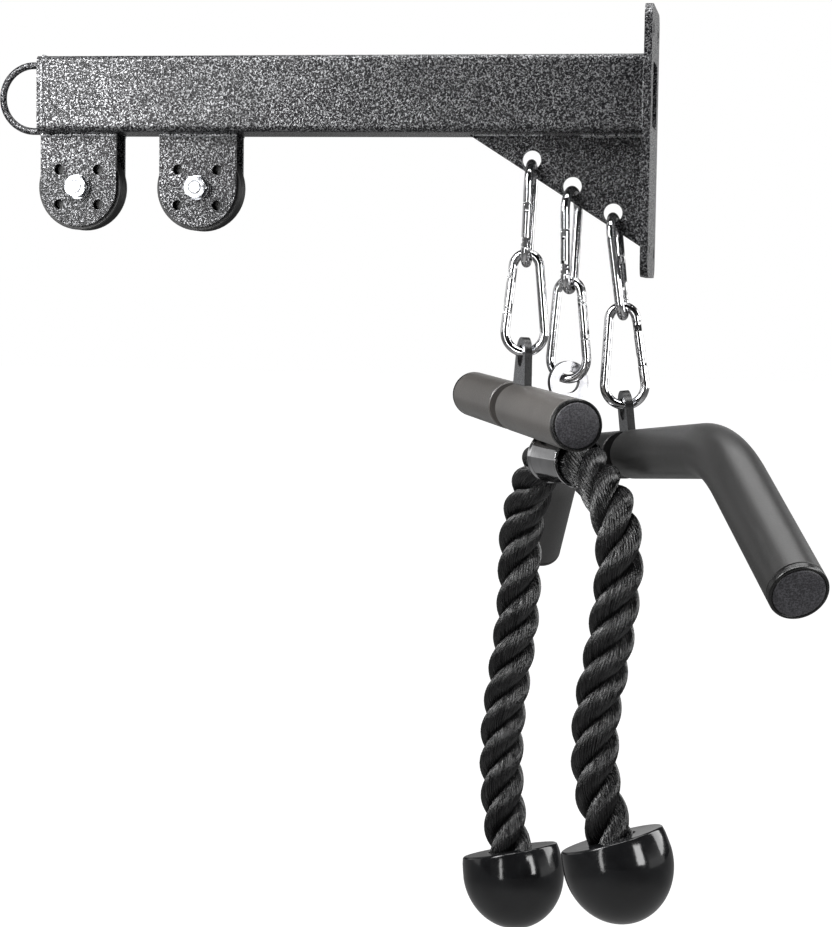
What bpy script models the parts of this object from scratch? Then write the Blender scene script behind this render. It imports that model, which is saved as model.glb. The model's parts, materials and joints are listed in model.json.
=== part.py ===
"""Wall-mounted cable machine arm with two pulleys and three hanging attachments.

The arm is a welded square tube on a wall plate, with a triangular gusset below it. Two pulley
blocks hang under the tube and a lifting ring closes its end. Three pairs of snap hooks hang in
the gusset's holes and carry a short straight bar, a two-ball pull-down rope and a long bar with
bent ends.

Frame: metres, +Z up, +X towards the wall, the viewer on the -Y side. The origin is the centre
of the wall plate's face that lies against the wall.
"""

from math import asin, cos, pi, radians, sin, sqrt, tan

import bmesh
import bpy
from mathutils import Matrix, Vector

COLLECTION_NAME = "cable_machine"

# Gaps that keep neighbouring pieces apart
SEAT_GAP = 0.0003
RUNNING_GAP = 0.0005
WELD_DISTANCE = 0.000003
CUT_OVERRUN = 0.002

# Wall plate
PLATE_WIDTH = 0.090
PLATE_HEIGHT = 0.207
PLATE_THICKNESS = 0.006
PLATE_CORNER_RADIUS = 0.012
PLATE_HOLE_DIAMETER = 0.0105
PLATE_HOLE_EDGE = 0.0185
PLATE_WINDOW_SIDE = 0.050
PLATE_WINDOW_RADIUS = 0.006

# Square beam and its end cap
BEAM_SIDE = 0.060
BEAM_WALL = 0.003
BEAM_CORNER_RADIUS = 0.005
BEAM_LENGTH = 0.479
BEAM_RISE = 0.03666
CAP_THICKNESS = 0.004
RING_WIDTH = 0.0585
RING_BAR_DIAMETER = 0.0056
RING_STUB = 0.0116
RING_DROP = 0.0013

# Gusset plate under the beam
GUSSET_THICKNESS = 0.005
GUSSET_LENGTH = 0.138
GUSSET_DEPTH = 0.0877
HOOK_HOLE_DIAMETER = 0.0148
HOOK_HOLE_END = 0.0350093
HOOK_HOLE_PITCH = 0.0381
HOOK_HOLE_INSET = 0.0102

# Pulley blocks
PULLEY_INSET = 0.0294
PULLEY_PITCH = 0.0988
PULLEY_DROP = 0.0430
BRACKET_WIDTH = 0.0629
BRACKET_OUTSIDE = 0.0268
BRACKET_THICKNESS = 0.003
BRACKET_HOLE_DIAMETER = 0.008
BRACKET_HOLES_APART = 0.0324
BRACKET_HOLES_RISE = 0.0280
WHEEL_DIAMETER = 0.0685
WHEEL_WIDTH = 0.0185
WHEEL_RIM = 0.0026
GROOVE_DEPTH = 0.0068
GROOVE_FLOOR = 0.0032
WEB_RECESS = 0.0025
RIM_RING_DEPTH = 0.009
HUB_WALL = 0.0035
BEARING_DIAMETER = 0.026
BEARING_WIDTH = 0.008
BEARING_RACE = 0.0021
SPACER_WALL = 0.0027

# Pulley bolts, nuts and washers
BOLT_DIAMETER = 0.010
BOLT_REACH = 0.0094
HEX_ACROSS_FLATS = 0.017
HEAD_HEIGHT = 0.0064
NUT_HEIGHT = 0.0062
WASHER_DIAMETER = 0.020
WASHER_THICKNESS = 0.0017

# Snap hooks
HOOK_WIRE = 0.0072
HOOK_LENGTH = 0.0847
HOOK_WIDTH = 0.039
HOOK_SHOULDER = 0.0285
GATE_LENGTH = 0.034
GATE_STUB = 0.0024
GATE_GAP = 0.0006
TANG_THICKNESS = 0.0028
TANG_WIDTH = 0.0064
TANG_SLOT = 0.0036
TOOTH_LENGTH = 0.008
TOOTH_SLOT_LENGTH = 0.0102
TOOTH_HEAD_DIAMETER = 0.003
TOOTH_HEAD_LENGTH = 0.0058
TOOTH_HEAD_SETBACK = 0.0024
NOTCH_LENGTH = 0.0052
RIVET_DIAMETER = 0.0026
HOLE_SEAT_GAP = 0.0008

# Bars, their lugs, grips and end plugs
BAR_DIAMETER = 0.025
BAR_WALL = 0.002
GRIP_DIAMETER = 0.0383
GRIP_CHAMFER = 0.0008
PLUG_THICKNESS = 0.006
PLUG_DOME = 0.0016
PLUG_SHOULDER_SHARE = 0.55
PLUG_FALL_SHARE = 0.25
PLUG_RIM = 0.0026
PLUG_SPIGOT_LENGTH = 0.016
PLUG_SPIGOT_GAP = 0.0008
LUG_THICKNESS = 0.006
LUG_HOLE_DIAMETER = 0.017
LUG_EYE_WALL = 0.0063
LUG_SEAT_GAP = 0.0019
SLIT_GAP = 0.0006

# Short straight bar
STRAIGHT_HALF_LENGTH = 0.167
STRAIGHT_LUG_REACH = 0.0415
STRAIGHT_LUG_BASE = 0.039
STRAIGHT_NEAR_GRIP_START = -0.008
STRAIGHT_FAR_GRIP_START = 0.029

# Long bar with bent ends
LONG_HALF_SPAN = 0.27165
LONG_ARM_LENGTH = 0.171
LONG_BEND_RADIUS = 0.150
LONG_LUG_REACH = 0.0355
LONG_LUG_BASE = 0.030
LONG_GRIP_START = 0.0158

# Pull-down rope, its sleeve, eye and ball ends
ROPE_DIAMETER = 0.0348
SLEEVE_LENGTH = 0.054
SLEEVE_BORE = 0.0370
SLEEVE_WALL = 0.0017
SLEEVE_LIP = 0.0012
SLEEVE_LIP_LENGTH = 0.003
EYE_DIAMETER = 0.033
EYE_HOLE_DIAMETER = 0.0175
EYE_THICKNESS = 0.005
EYE_NECK_WIDTH = 0.021
EYE_SEAT_GAP = 0.0028
EYE_REACH = 0.0605
BALL_DIAMETER = 0.083
BALL_TOP_DIAMETER = 0.079
BALL_HEIGHT = 0.0645
BALL_SHOULDER = 0.018
BALL_TOP_EDGE = 0.002
BALL_SOCKET_GAP = 0.0006
ROPE_HINGE_GAP = 0.0004
BALL_SOCKET_DEPTH = 0.040

# Angles, degrees
BAR_BEND = 31.3
SMOOTH_ANGLE = 35.0

# Rope route from the far ball to the near ball, metres from the sleeve's centre: along the
# sleeve's axis towards the viewer, across it, and up
ROPE_ROUTE = (
    (-0.0562, -0.0026, -0.3641),
    (-0.0645, -0.0074, -0.3270),
    (-0.0702, -0.0107, -0.3005),
    (-0.0735, -0.0127, -0.2725),
    (-0.0753, -0.0132, -0.2475),
    (-0.0762, -0.0122, -0.2195),
    (-0.0768, -0.0091, -0.1923),
    (-0.0775, -0.0052, -0.1610),
    (-0.0781, -0.0024, -0.1363),
    (-0.0793, -0.0011, -0.1091),
    (-0.0812, -0.0009, -0.0820),
    (-0.0776, -0.0006, -0.0560),
    (-0.0660, -0.0003, -0.0330),
    (-0.0520, 0.0, -0.0145),
    (-0.0390, 0.0, -0.0035),
    (-0.0290, 0.0, -0.0002),
    (-0.0150, 0.0, 0.0),
    (0.0150, 0.0, 0.0),
    (0.0290, 0.0, -0.0002),
    (0.0400, 0.0, -0.0030),
    (0.0560, 0.0, -0.0105),
    (0.0760, 0.0003, -0.0215),
    (0.0935, 0.0010, -0.0400),
    (0.1010, 0.0019, -0.0700),
    (0.1022, -0.0002, -0.0958),
    (0.1029, -0.0031, -0.1205),
    (0.1033, -0.0070, -0.1452),
    (0.1036, -0.0118, -0.1722),
    (0.1042, -0.0141, -0.1984),
    (0.1061, -0.0134, -0.2295),
    (0.1097, -0.0092, -0.2522),
    (0.1154, -0.0029, -0.2764),
    (0.1241, 0.0059, -0.3122),
)
FAR_HINGE_POINT = 10
NEAR_HINGE_POINT = 23
BALL_MOUTH_POINT = 1
ROPE_STEP_SHARE = 0.65
MIDDLE_STEP_SHARE = 0.3

# Facets round each kind of piece
WIRE_RESOLUTION = 2
BAR_RESOLUTION = 3
ROPE_RESOLUTION = 3
ROUND_SEGMENTS = 24
SMALL_SEGMENTS = 12
PIN_SEGMENTS = 8

FINISHES = {
    "hammered_paint": ((0.035, 0.036, 0.040), 0.42, 0.55),
    "bright_zinc": ((0.62, 0.63, 0.65), 0.28, 1.0),
    "polished_steel": ((0.72, 0.73, 0.75), 0.14, 1.0),
    "chrome": ((0.78, 0.79, 0.81), 0.08, 1.0),
    "black_nylon": ((0.012, 0.012, 0.013), 0.45, 0.0),
    "black_paint": ((0.014, 0.014, 0.015), 0.40, 0.2),
    "foam": ((0.040, 0.038, 0.037), 0.75, 0.0),
    "plug_plastic": ((0.030, 0.030, 0.034), 0.55, 0.0),
    "rope": ((0.010, 0.010, 0.011), 0.50, 0.0),
    "gloss_rubber": ((0.008, 0.008, 0.009), 0.16, 0.0),
}

# The three hanging stations, from the one furthest from the wall. A lean swings the hook's
# lower end towards the wall and a yaw turns its far leg towards the wall.
STATIONS = (
    {"label": "1", "upper_lean": -2.3, "upper_yaw": 0.0, "upper_gate_front": True,
     "lower_lean": -0.6, "lower_yaw": -5.0, "lower_gate_right": False},
    {"label": "2", "upper_lean": -0.8, "upper_yaw": 13.0, "upper_gate_front": True,
     "lower_lean": 0.3, "lower_yaw": -21.5, "lower_gate_right": True},
    {"label": "3", "upper_lean": 7.0, "upper_yaw": 6.0, "upper_gate_front": False,
     "lower_lean": 3.0, "lower_yaw": 0.0, "lower_gate_right": True},
)
STRAIGHT_BAR_POSE = {"yaw": 21.0, "tilt": 1.5, "roll": -2.0}
ROPE_POSE = {"yaw": 30.0, "tilt": 0.0, "roll": -1.2}
LONG_BAR_POSE = {"yaw": 17.05, "tilt": -4.5, "roll": 5.3}

# Sizes worked out from the ones above
BEAM_START = -PLATE_THICKNESS - SEAT_GAP
BEAM_END = BEAM_START - BEAM_LENGTH
CAP_OUTSIDE = BEAM_END - SEAT_GAP - CAP_THICKNESS
BEAM_UNDERSIDE = BEAM_RISE - BEAM_SIDE / 2
PULLEY_HEIGHT = BEAM_UNDERSIDE - PULLEY_DROP
WIRE_RADIUS = HOOK_WIRE / 2
WIDE_RADIUS = (HOOK_WIDTH - HOOK_WIRE) / 2
NARROW_RADIUS = (HOOK_SHOULDER - HOOK_WIRE) / 2
HOOK_REACH = HOOK_LENGTH - HOOK_WIRE
HOOK_TAPER = asin((WIDE_RADIUS - NARROW_RADIUS) / (HOOK_REACH - WIDE_RADIUS - NARROW_RADIUS))
GRIP_BORE_RADIUS = BAR_DIAMETER / 2 + SEAT_GAP
BOLT_CLEAR_RADIUS = BOLT_DIAMETER / 2 + SEAT_GAP
ROPE_RADIUS = ROPE_DIAMETER / 2

# How plates drawn in XY are stood up
UPRIGHT_ALONG_BEAM = Matrix.Rotation(pi / 2, 4, "X")
UPRIGHT_ACROSS_BEAM = Matrix(((0, 0, 1, 0), (1, 0, 0, 0), (0, 1, 0, 0), (0, 0, 0, 1)))
ALONG_X = Matrix.Rotation(pi / 2, 4, "Y")
ALONG_Y = Matrix.Rotation(pi / 2, 4, "X")


def empty_scene():
    """Remove every object the file starts with."""
    for old in list(bpy.data.objects):
        bpy.data.objects.remove(old, do_unlink=True)


def new_collection(name):
    """Return a fresh collection linked to the scene."""
    collection = bpy.data.collections.new(name)
    bpy.context.scene.collection.children.link(collection)
    return collection


def finish(name):
    """Return the named Principled material, made on first use."""
    if name in bpy.data.materials:
        return bpy.data.materials[name]
    colour, roughness, metallic = FINISHES[name]
    made = bpy.data.materials.new(name)
    made.use_nodes = True
    shader = made.node_tree.nodes["Principled BSDF"]
    shader.inputs["Base Color"].default_value = (*colour, 1.0)
    shader.inputs["Roughness"].default_value = roughness
    shader.inputs["Metallic"].default_value = metallic
    return made


# Mesh makers

def tidy(mesh):
    """Weld loose caps and point every face outwards."""
    edit = bmesh.new()
    edit.from_mesh(mesh)
    bmesh.ops.remove_doubles(edit, verts=edit.verts, dist=WELD_DISTANCE)
    bmesh.ops.recalc_face_normals(edit, faces=edit.faces)
    edit.to_mesh(mesh)
    edit.free()
    return mesh


def baked(holder):
    """Return the mesh that an object shows with its modifiers, and remove the object."""
    bpy.context.scene.collection.objects.link(holder)
    graph = bpy.context.evaluated_depsgraph_get()
    mesh = bpy.data.meshes.new_from_object(holder.evaluated_get(graph))
    bpy.data.objects.remove(holder, do_unlink=True)
    return tidy(mesh)


def circle(radius, segments, centre=(0.0, 0.0)):
    """Points of a circle in a plate's plane."""
    steps = [2 * pi * index / segments for index in range(segments)]
    return [(centre[0] + radius * cos(turn), centre[1] + radius * sin(turn)) for turn in steps]


def arc(centre, radius, start, end, steps):
    """Points of an arc in a plate's plane, angles in degrees."""
    turns = [radians(start + (end - start) * index / steps) for index in range(steps + 1)]
    return [(centre[0] + radius * cos(turn), centre[1] + radius * sin(turn)) for turn in turns]


def rounded_rectangle(width, height, radius, steps=4):
    """Outline of a rectangle with rounded corners, centred on the origin."""
    across = width / 2 - radius
    up = height / 2 - radius
    corners = ((across, up, 0), (-across, up, 90), (-across, -up, 180), (across, -up, 270))
    points = []
    for x, y, start in corners:
        points += arc((x, y), radius, start, start + 90, steps)
    return points


def plate(outline, thickness, holes=()):
    """Flat plate in the XY plane, centred on it, with its holes."""
    curve = bpy.data.curves.new("outline", "CURVE")
    curve.dimensions = "2D"
    curve.fill_mode = "BOTH"
    curve.extrude = thickness / 2
    for loop in (outline, *holes):
        spline = curve.splines.new("POLY")
        spline.points.add(len(loop) - 1)
        for point, (x, y) in zip(spline.points, loop):
            point.co = (x, y, 0.0, 1.0)
        spline.use_cyclic_u = True
    return baked(bpy.data.objects.new("outline", curve))


def turned(profile, segments, closed=False):
    """Solid of revolution about Z, from a profile that runs down its outer side."""
    mesh = bpy.data.meshes.new("profile")
    edges = [(index, index + 1) for index in range(len(profile) - 1)]
    if closed:
        edges.append((len(profile) - 1, 0))
    mesh.from_pydata([(radius, 0.0, height) for radius, height in profile], edges, [])
    holder = bpy.data.objects.new("profile", mesh)
    screw = holder.modifiers.new("turn", "SCREW")
    screw.steps = segments
    screw.render_steps = segments
    screw.use_merge_vertices = True
    screw.merge_threshold = WELD_DISTANCE
    return baked(holder)


def ring(outer, inner, width, segments):
    """Plain ring about Z, centred on its width."""
    half = width / 2
    profile = ((outer, half), (outer, -half), (inner, -half), (inner, half))
    return turned(profile, segments, closed=True)


def rod(radius, length, segments):
    """Plain cylinder about Z, centred on its length."""
    half = length / 2
    return turned(((0.0, half), (radius, half), (radius, -half), (0.0, -half)), segments)


def box(size):
    """Block centred on the origin."""
    edit = bmesh.new()
    bmesh.ops.create_cube(edit, size=1.0, matrix=Matrix.Diagonal((*size, 1.0)))
    mesh = bpy.data.meshes.new("box")
    edit.to_mesh(mesh)
    edit.free()
    return mesh


def round_bar(points, radius, resolution):
    """Round bar with flat ends along a list of points."""
    curve = bpy.data.curves.new("bar", "CURVE")
    curve.dimensions = "3D"
    curve.bevel_depth = radius
    curve.bevel_resolution = resolution
    curve.use_fill_caps = True
    curve.twist_mode = "MINIMUM"
    spline = curve.splines.new("POLY")
    spline.points.add(len(points) - 1)
    for point, place in zip(spline.points, points):
        point.co = (*place, 1.0)
    return baked(bpy.data.objects.new("bar", curve))


def moved(mesh, matrix):
    """The same mesh, moved by a matrix."""
    mesh.transform(matrix)
    return mesh


def combined(base, tool, operation):
    """Join, cut or intersect two closed meshes."""
    holder = bpy.data.objects.new("base", base)
    cutter = bpy.data.objects.new("tool", tool)
    bpy.context.scene.collection.objects.link(cutter)
    boolean = holder.modifiers.new("boolean", "BOOLEAN")
    boolean.operation = operation
    boolean.solver = "EXACT"
    boolean.object = cutter
    mesh = baked(holder)
    bpy.data.objects.remove(cutter, do_unlink=True)
    return mesh


def at(x=0.0, y=0.0, z=0.0):
    """Translation matrix."""
    return Matrix.Translation((x, y, z))


class Assembly:
    """Collects the pieces, each named, coloured and set on its carrier."""

    def __init__(self, name):
        self.collection = new_collection(name)

    def pivot(self, name, matrix):
        """Empty on a joint's axis."""
        empty = bpy.data.objects.new(name, None)
        empty.matrix_world = matrix
        self.collection.objects.link(empty)
        return empty

    def add(self, name, mesh, finish_name, matrix=Matrix(), carrier=None):
        """One piece: its mesh, its finish and its place, in its carrier's frame if it has one."""
        piece = bpy.data.objects.new(name, mesh)
        mesh.materials.clear()
        mesh.materials.append(finish(finish_name))
        mesh.shade_smooth()
        mesh.set_sharp_from_angle(angle=radians(SMOOTH_ANGLE))
        if carrier is not None:
            piece.parent = carrier
        piece.matrix_basis = matrix
        self.collection.objects.link(piece)
        return piece


# Welded arm

def make_wall_plate(assembly):
    """Wall plate with four fixing holes and a window behind the beam."""
    across = PLATE_WIDTH / 2 - PLATE_HOLE_EDGE
    up = PLATE_HEIGHT / 2 - PLATE_HOLE_EDGE
    radius = PLATE_HOLE_DIAMETER / 2
    holes = [circle(radius, SMALL_SEGMENTS, (side * across, level * up))
             for side in (-1, 1) for level in (-1, 1)]
    window = rounded_rectangle(PLATE_WINDOW_SIDE, PLATE_WINDOW_SIDE, PLATE_WINDOW_RADIUS)
    holes.append([(x, y + BEAM_RISE) for x, y in window])
    outline = rounded_rectangle(PLATE_WIDTH, PLATE_HEIGHT, PLATE_CORNER_RADIUS)
    mesh = moved(plate(outline, PLATE_THICKNESS, holes), UPRIGHT_ACROSS_BEAM)
    assembly.add("wall_plate", mesh, "hammered_paint", at(x=-PLATE_THICKNESS / 2))


def make_beam(assembly):
    """Square tube, its end cap and the bent ring welded on it."""
    outer = rounded_rectangle(BEAM_SIDE, BEAM_SIDE, BEAM_CORNER_RADIUS)
    bore_side = BEAM_SIDE - 2 * BEAM_WALL
    bore = rounded_rectangle(bore_side, bore_side, BEAM_CORNER_RADIUS - BEAM_WALL)
    tube = moved(plate(outer, BEAM_LENGTH, [bore]), UPRIGHT_ACROSS_BEAM)
    middle = (BEAM_START + BEAM_END) / 2
    assembly.add("beam_tube", tube, "hammered_paint", at(x=middle, z=BEAM_RISE))
    cap = moved(plate(outer, CAP_THICKNESS), UPRIGHT_ACROSS_BEAM)
    cap_place = at(x=CAP_OUTSIDE + CAP_THICKNESS / 2, z=BEAM_RISE)
    assembly.add("end_cap_plate", cap, "hammered_paint", cap_place)
    radius = (RING_WIDTH - RING_BAR_DIAMETER) / 2
    bend = arc((-RING_STUB, 0.0), radius, 90, 270, 12)
    points = [(x, 0.0, z) for x, z in [(0.0, radius)] + bend + [(0.0, -radius)]]
    half_ring = round_bar(points, RING_BAR_DIAMETER / 2, WIRE_RESOLUTION)
    ring_place = at(x=CAP_OUTSIDE - SEAT_GAP, z=BEAM_RISE - RING_DROP)
    assembly.add("end_ring", half_ring, "hammered_paint", ring_place)


def hook_hole(index):
    """Centre of a gusset hole, measured up the slope from the wall plate."""
    slope = sqrt(GUSSET_LENGTH ** 2 + GUSSET_DEPTH ** 2)
    along = Vector((-GUSSET_LENGTH, GUSSET_DEPTH)) / slope
    inward = Vector((GUSSET_DEPTH, GUSSET_LENGTH)) / slope
    foot = Vector((BEAM_START, BEAM_UNDERSIDE - GUSSET_DEPTH))
    steps = len(STATIONS) - 1 - index
    place = foot + along * (HOOK_HOLE_END + steps * HOOK_HOLE_PITCH) + inward * HOOK_HOLE_INSET
    return place


def make_gusset(assembly):
    """Triangular plate between beam and wall plate, with a hole for each hanging station."""
    top = BEAM_UNDERSIDE - SEAT_GAP
    outline = ((BEAM_START - GUSSET_LENGTH, top), (BEAM_START, BEAM_UNDERSIDE - GUSSET_DEPTH),
               (BEAM_START, top))
    radius = HOOK_HOLE_DIAMETER / 2
    holes = [circle(radius, ROUND_SEGMENTS, hook_hole(index)) for index in range(len(STATIONS))]
    mesh = moved(plate(outline, GUSSET_THICKNESS, holes), UPRIGHT_ALONG_BEAM)
    assembly.add("gusset_plate", mesh, "hammered_paint")


# Pulley blocks

def bracket_outline():
    """Side plate of a pulley block about its bolt: straight sides and a round lower end."""
    half = BRACKET_WIDTH / 2
    top = PULLEY_DROP - SEAT_GAP
    return [(half, top), (-half, top)] + arc((0.0, 0.0), half, 180, 360, 14)


def wheel_profile():
    """Section of the grooved wheel, down its rim and back up its bore."""
    rim = WHEEL_DIAMETER / 2
    half = WHEEL_WIDTH / 2
    floor = rim - GROOVE_DEPTH
    bore = BEARING_DIAMETER / 2 + SEAT_GAP
    web = half - WEB_RECESS
    upper = [(bore, half), (bore + HUB_WALL, half), (bore + HUB_WALL, web),
             (rim - RIM_RING_DEPTH, web), (rim - RIM_RING_DEPTH, half), (rim, half),
             (rim, half - WHEEL_RIM), (floor, GROOVE_FLOOR / 2)]
    lower = [(radius, -height) for radius, height in reversed(upper)]
    return upper + lower


def hexagon():
    """Outline of a nut or bolt head."""
    return circle(HEX_ACROSS_FLATS / 2 / cos(pi / 6), 6)


def make_pulley(assembly, number, x):
    """One pulley block under the beam."""
    name = f"pulley_{number}"
    centre = at(x=x, z=PULLEY_HEIGHT)
    outside = BRACKET_OUTSIDE / 2
    inside = outside - BRACKET_THICKNESS
    hole_places = [(side * BRACKET_HOLES_APART / 2, level * BRACKET_HOLES_RISE / 2)
                   for side in (-1, 1) for level in (-1, 1)]
    holes = [circle(BRACKET_HOLE_DIAMETER / 2, SMALL_SEGMENTS, place) for place in hole_places]
    holes.append(circle(BOLT_CLEAR_RADIUS, SMALL_SEGMENTS))
    side_plate = moved(plate(bracket_outline(), BRACKET_THICKNESS, holes), UPRIGHT_ALONG_BEAM)
    plate_offset = outside - BRACKET_THICKNESS / 2
    assembly.add(f"{name}_front_plate", side_plate, "hammered_paint", centre @ at(y=-plate_offset))
    assembly.add(f"{name}_back_plate", side_plate, "hammered_paint", centre @ at(y=plate_offset))

    hub = assembly.pivot(f"{name}_axle", centre)
    wheel = moved(turned(wheel_profile(), ROUND_SEGMENTS, closed=True), ALONG_Y)
    assembly.add(f"{name}_wheel", wheel, "black_nylon", carrier=hub)
    race_radius = BOLT_CLEAR_RADIUS + BEARING_RACE
    outer_race = ring(BEARING_DIAMETER / 2, race_radius + SEAT_GAP, BEARING_WIDTH, ROUND_SEGMENTS)
    assembly.add(f"{name}_bearing_outer", moved(outer_race, ALONG_Y), "bright_zinc", carrier=hub)
    inner_race = ring(race_radius, BOLT_CLEAR_RADIUS, BEARING_WIDTH, ROUND_SEGMENTS)
    assembly.add(f"{name}_bearing_inner", moved(inner_race, ALONG_Y), "bright_zinc", centre)

    spacer_length = inside - BEARING_WIDTH / 2 - 2 * SEAT_GAP
    spacer_radius = BOLT_CLEAR_RADIUS + SPACER_WALL
    spacer = moved(ring(spacer_radius, BOLT_CLEAR_RADIUS, spacer_length, SMALL_SEGMENTS), ALONG_Y)
    spacer_offset = BEARING_WIDTH / 2 + SEAT_GAP + spacer_length / 2
    washer_radius = WASHER_DIAMETER / 2
    washer = moved(ring(washer_radius, BOLT_CLEAR_RADIUS, WASHER_THICKNESS, SMALL_SEGMENTS), ALONG_Y)
    washer_offset = outside + SEAT_GAP + WASHER_THICKNESS / 2
    for side, label in ((-1, "front"), (1, "back")):
        assembly.add(f"{name}_spacer_{label}", spacer, "bright_zinc", centre @ at(y=side * spacer_offset))
        assembly.add(f"{name}_washer_{label}", washer, "bright_zinc", centre @ at(y=side * washer_offset))

    stack = outside + WASHER_THICKNESS + 2 * SEAT_GAP
    nut = plate(hexagon(), NUT_HEIGHT, [circle(BOLT_CLEAR_RADIUS, SMALL_SEGMENTS)])
    nut_place = centre @ at(y=-stack - NUT_HEIGHT / 2)
    assembly.add(f"{name}_nut", moved(nut, UPRIGHT_ALONG_BEAM), "bright_zinc", nut_place)
    head = moved(plate(hexagon(), HEAD_HEIGHT), at(z=-stack - HEAD_HEIGHT / 2))
    bolt_top = outside + BOLT_REACH
    bolt_foot = -stack - HEAD_HEIGHT / 2
    shank = moved(rod(BOLT_DIAMETER / 2, bolt_top - bolt_foot, SMALL_SEGMENTS),
                  at(z=(bolt_top + bolt_foot) / 2))
    bolt = moved(combined(head, shank, "UNION"), UPRIGHT_ALONG_BEAM)
    assembly.add(f"{name}_bolt", bolt, "bright_zinc", centre)


# Snap hooks: the wide end's wire centre is the mesh's origin, the hook hangs down -Z in the
# YZ plane and its gate is on the -Y leg

def leg_direction():
    """Way down the gate's leg, from the wide end to the narrow one."""
    return Vector((0.0, sin(HOOK_TAPER), -cos(HOOK_TAPER)))


def narrow_tangent():
    """Where the gate's leg meets the narrow end's arc, on the wire's centreline."""
    centre = Vector((0.0, 0.0, NARROW_RADIUS - HOOK_REACH))
    return centre + NARROW_RADIUS * Vector((0.0, -cos(HOOK_TAPER), -sin(HOOK_TAPER)))


def gate_rivet():
    """Centre of the gate's rivet, on the wire's centreline."""
    return narrow_tangent() - leg_direction() * (GATE_STUB + GATE_GAP + GATE_LENGTH - WIRE_RADIUS)


def hook_centreline():
    """Wire centreline from the gate's hinge, over the wide end and round to the gate's nose."""
    taper = HOOK_TAPER * 180 / pi
    shoulder = gate_rivet() - leg_direction() * (WIRE_RADIUS + GATE_GAP)
    wide = arc((0.0, -WIDE_RADIUS), WIDE_RADIUS, 180 + taper, -taper, 8)
    narrow_centre = (0.0, NARROW_RADIUS - HOOK_REACH)
    narrow = arc(narrow_centre, NARROW_RADIUS, -taper, -180 + taper, 6)
    nose = narrow_tangent() - leg_direction() * GATE_STUB
    turns = [(0.0, y, z) for y, z in wide + narrow]
    return [tuple(shoulder)] + turns + [tuple(nose)]


def leg_frame(point):
    """Frame on the gate's leg with -Z down the leg and -Y out of the hook."""
    return Matrix.Translation(point) @ Matrix.Rotation(HOOK_TAPER, 4, "X")


def cross_pin(diameter, length):
    """Pin across the hook's plane."""
    return moved(rod(diameter / 2, length, PIN_SEGMENTS), ALONG_X)


def make_hook_body():
    """Bent wire with the gate's tang at one end and its toothed nose at the other."""
    body = round_bar(hook_centreline(), WIRE_RADIUS, WIRE_RESOLUTION)
    half = TANG_WIDTH / 2
    root = WIRE_RADIUS + GATE_GAP + CUT_OVERRUN
    tang_outline = [(half, root), (-half, root)] + arc((0.0, 0.0), half, 180, 360, 6)
    tang_hole = circle(RIVET_DIAMETER / 2 + SEAT_GAP, PIN_SEGMENTS)
    tang = moved(plate(tang_outline, TANG_THICKNESS, [tang_hole]), UPRIGHT_ACROSS_BEAM)
    body = combined(body, moved(tang, leg_frame(gate_rivet())), "UNION")
    nose = narrow_tangent() - leg_direction() * GATE_STUB
    tooth = moved(box((TANG_THICKNESS, TANG_WIDTH, TOOTH_LENGTH + CUT_OVERRUN)),
                  at(z=(TOOTH_LENGTH - CUT_OVERRUN) / 2))
    body = combined(body, moved(tooth, leg_frame(nose)), "UNION")
    head_place = leg_frame(nose) @ at(z=TOOTH_LENGTH - TOOTH_HEAD_SETBACK)
    head = moved(cross_pin(TOOTH_HEAD_DIAMETER, TOOTH_HEAD_LENGTH), head_place)
    return combined(body, head, "UNION")


def make_hook_gate():
    """Gate about its rivet: forked at the hinge, slotted and notched at the nose."""
    overhang = WIRE_RADIUS
    nose = WIRE_RADIUS - GATE_LENGTH
    bar = round_bar([(0.0, 0.0, overhang), (0.0, 0.0, nose)], WIRE_RADIUS, WIRE_RESOLUTION)
    side = [(WIRE_RADIUS, nose - CUT_OVERRUN)] + arc((0.0, 0.0), WIRE_RADIUS, 0, 180, 6)
    side.append((-WIRE_RADIUS, nose - CUT_OVERRUN))
    rounded = moved(plate(side, 2 * HOOK_WIRE), UPRIGHT_ACROSS_BEAM)
    gate = combined(bar, rounded, "INTERSECT")
    fork_depth = WIRE_RADIUS + TANG_WIDTH / 2 + RUNNING_GAP
    fork = moved(box((TANG_SLOT, 2 * HOOK_WIRE, fork_depth + CUT_OVERRUN)),
                 at(z=overhang - fork_depth / 2 + CUT_OVERRUN / 2))
    gate = combined(gate, fork, "DIFFERENCE")
    slot = moved(box((TANG_SLOT, 2 * HOOK_WIRE, TOOTH_SLOT_LENGTH + CUT_OVERRUN)),
                 at(z=nose + TOOTH_SLOT_LENGTH / 2 - CUT_OVERRUN / 2))
    gate = combined(gate, slot, "DIFFERENCE")
    head_level = nose - GATE_GAP + TOOTH_LENGTH - TOOTH_HEAD_SETBACK
    notch_floor = TOOTH_HEAD_DIAMETER / 2 + RUNNING_GAP
    notch_depth = notch_floor + HOOK_WIRE
    notch = moved(box((2 * HOOK_WIRE, notch_depth, NOTCH_LENGTH)),
                  at(y=notch_floor - notch_depth / 2, z=head_level))
    gate = combined(gate, notch, "DIFFERENCE")
    rivet = cross_pin(RIVET_DIAMETER, HOOK_WIRE - SEAT_GAP)
    return combined(gate, rivet, "UNION")


def leaning(lean):
    """Unit vector down a hook whose lower end leans towards the wall."""
    return Vector((sin(radians(lean)), 0.0, -cos(radians(lean))))


def hang_point(station, hole):
    """Wire centres of a station's two hooks: top, link and the lower hook's foot."""
    seat = -HOOK_HOLE_DIAMETER / 2 + HOLE_SEAT_GAP + WIRE_RADIUS
    top = Vector((hole[0], 0.0, hole[1] + seat))
    link = top + leaning(station["upper_lean"]) * (HOOK_REACH - HOOK_WIRE - SEAT_GAP)
    foot = link + leaning(station["lower_lean"]) * HOOK_REACH
    return top, link, foot


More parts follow.
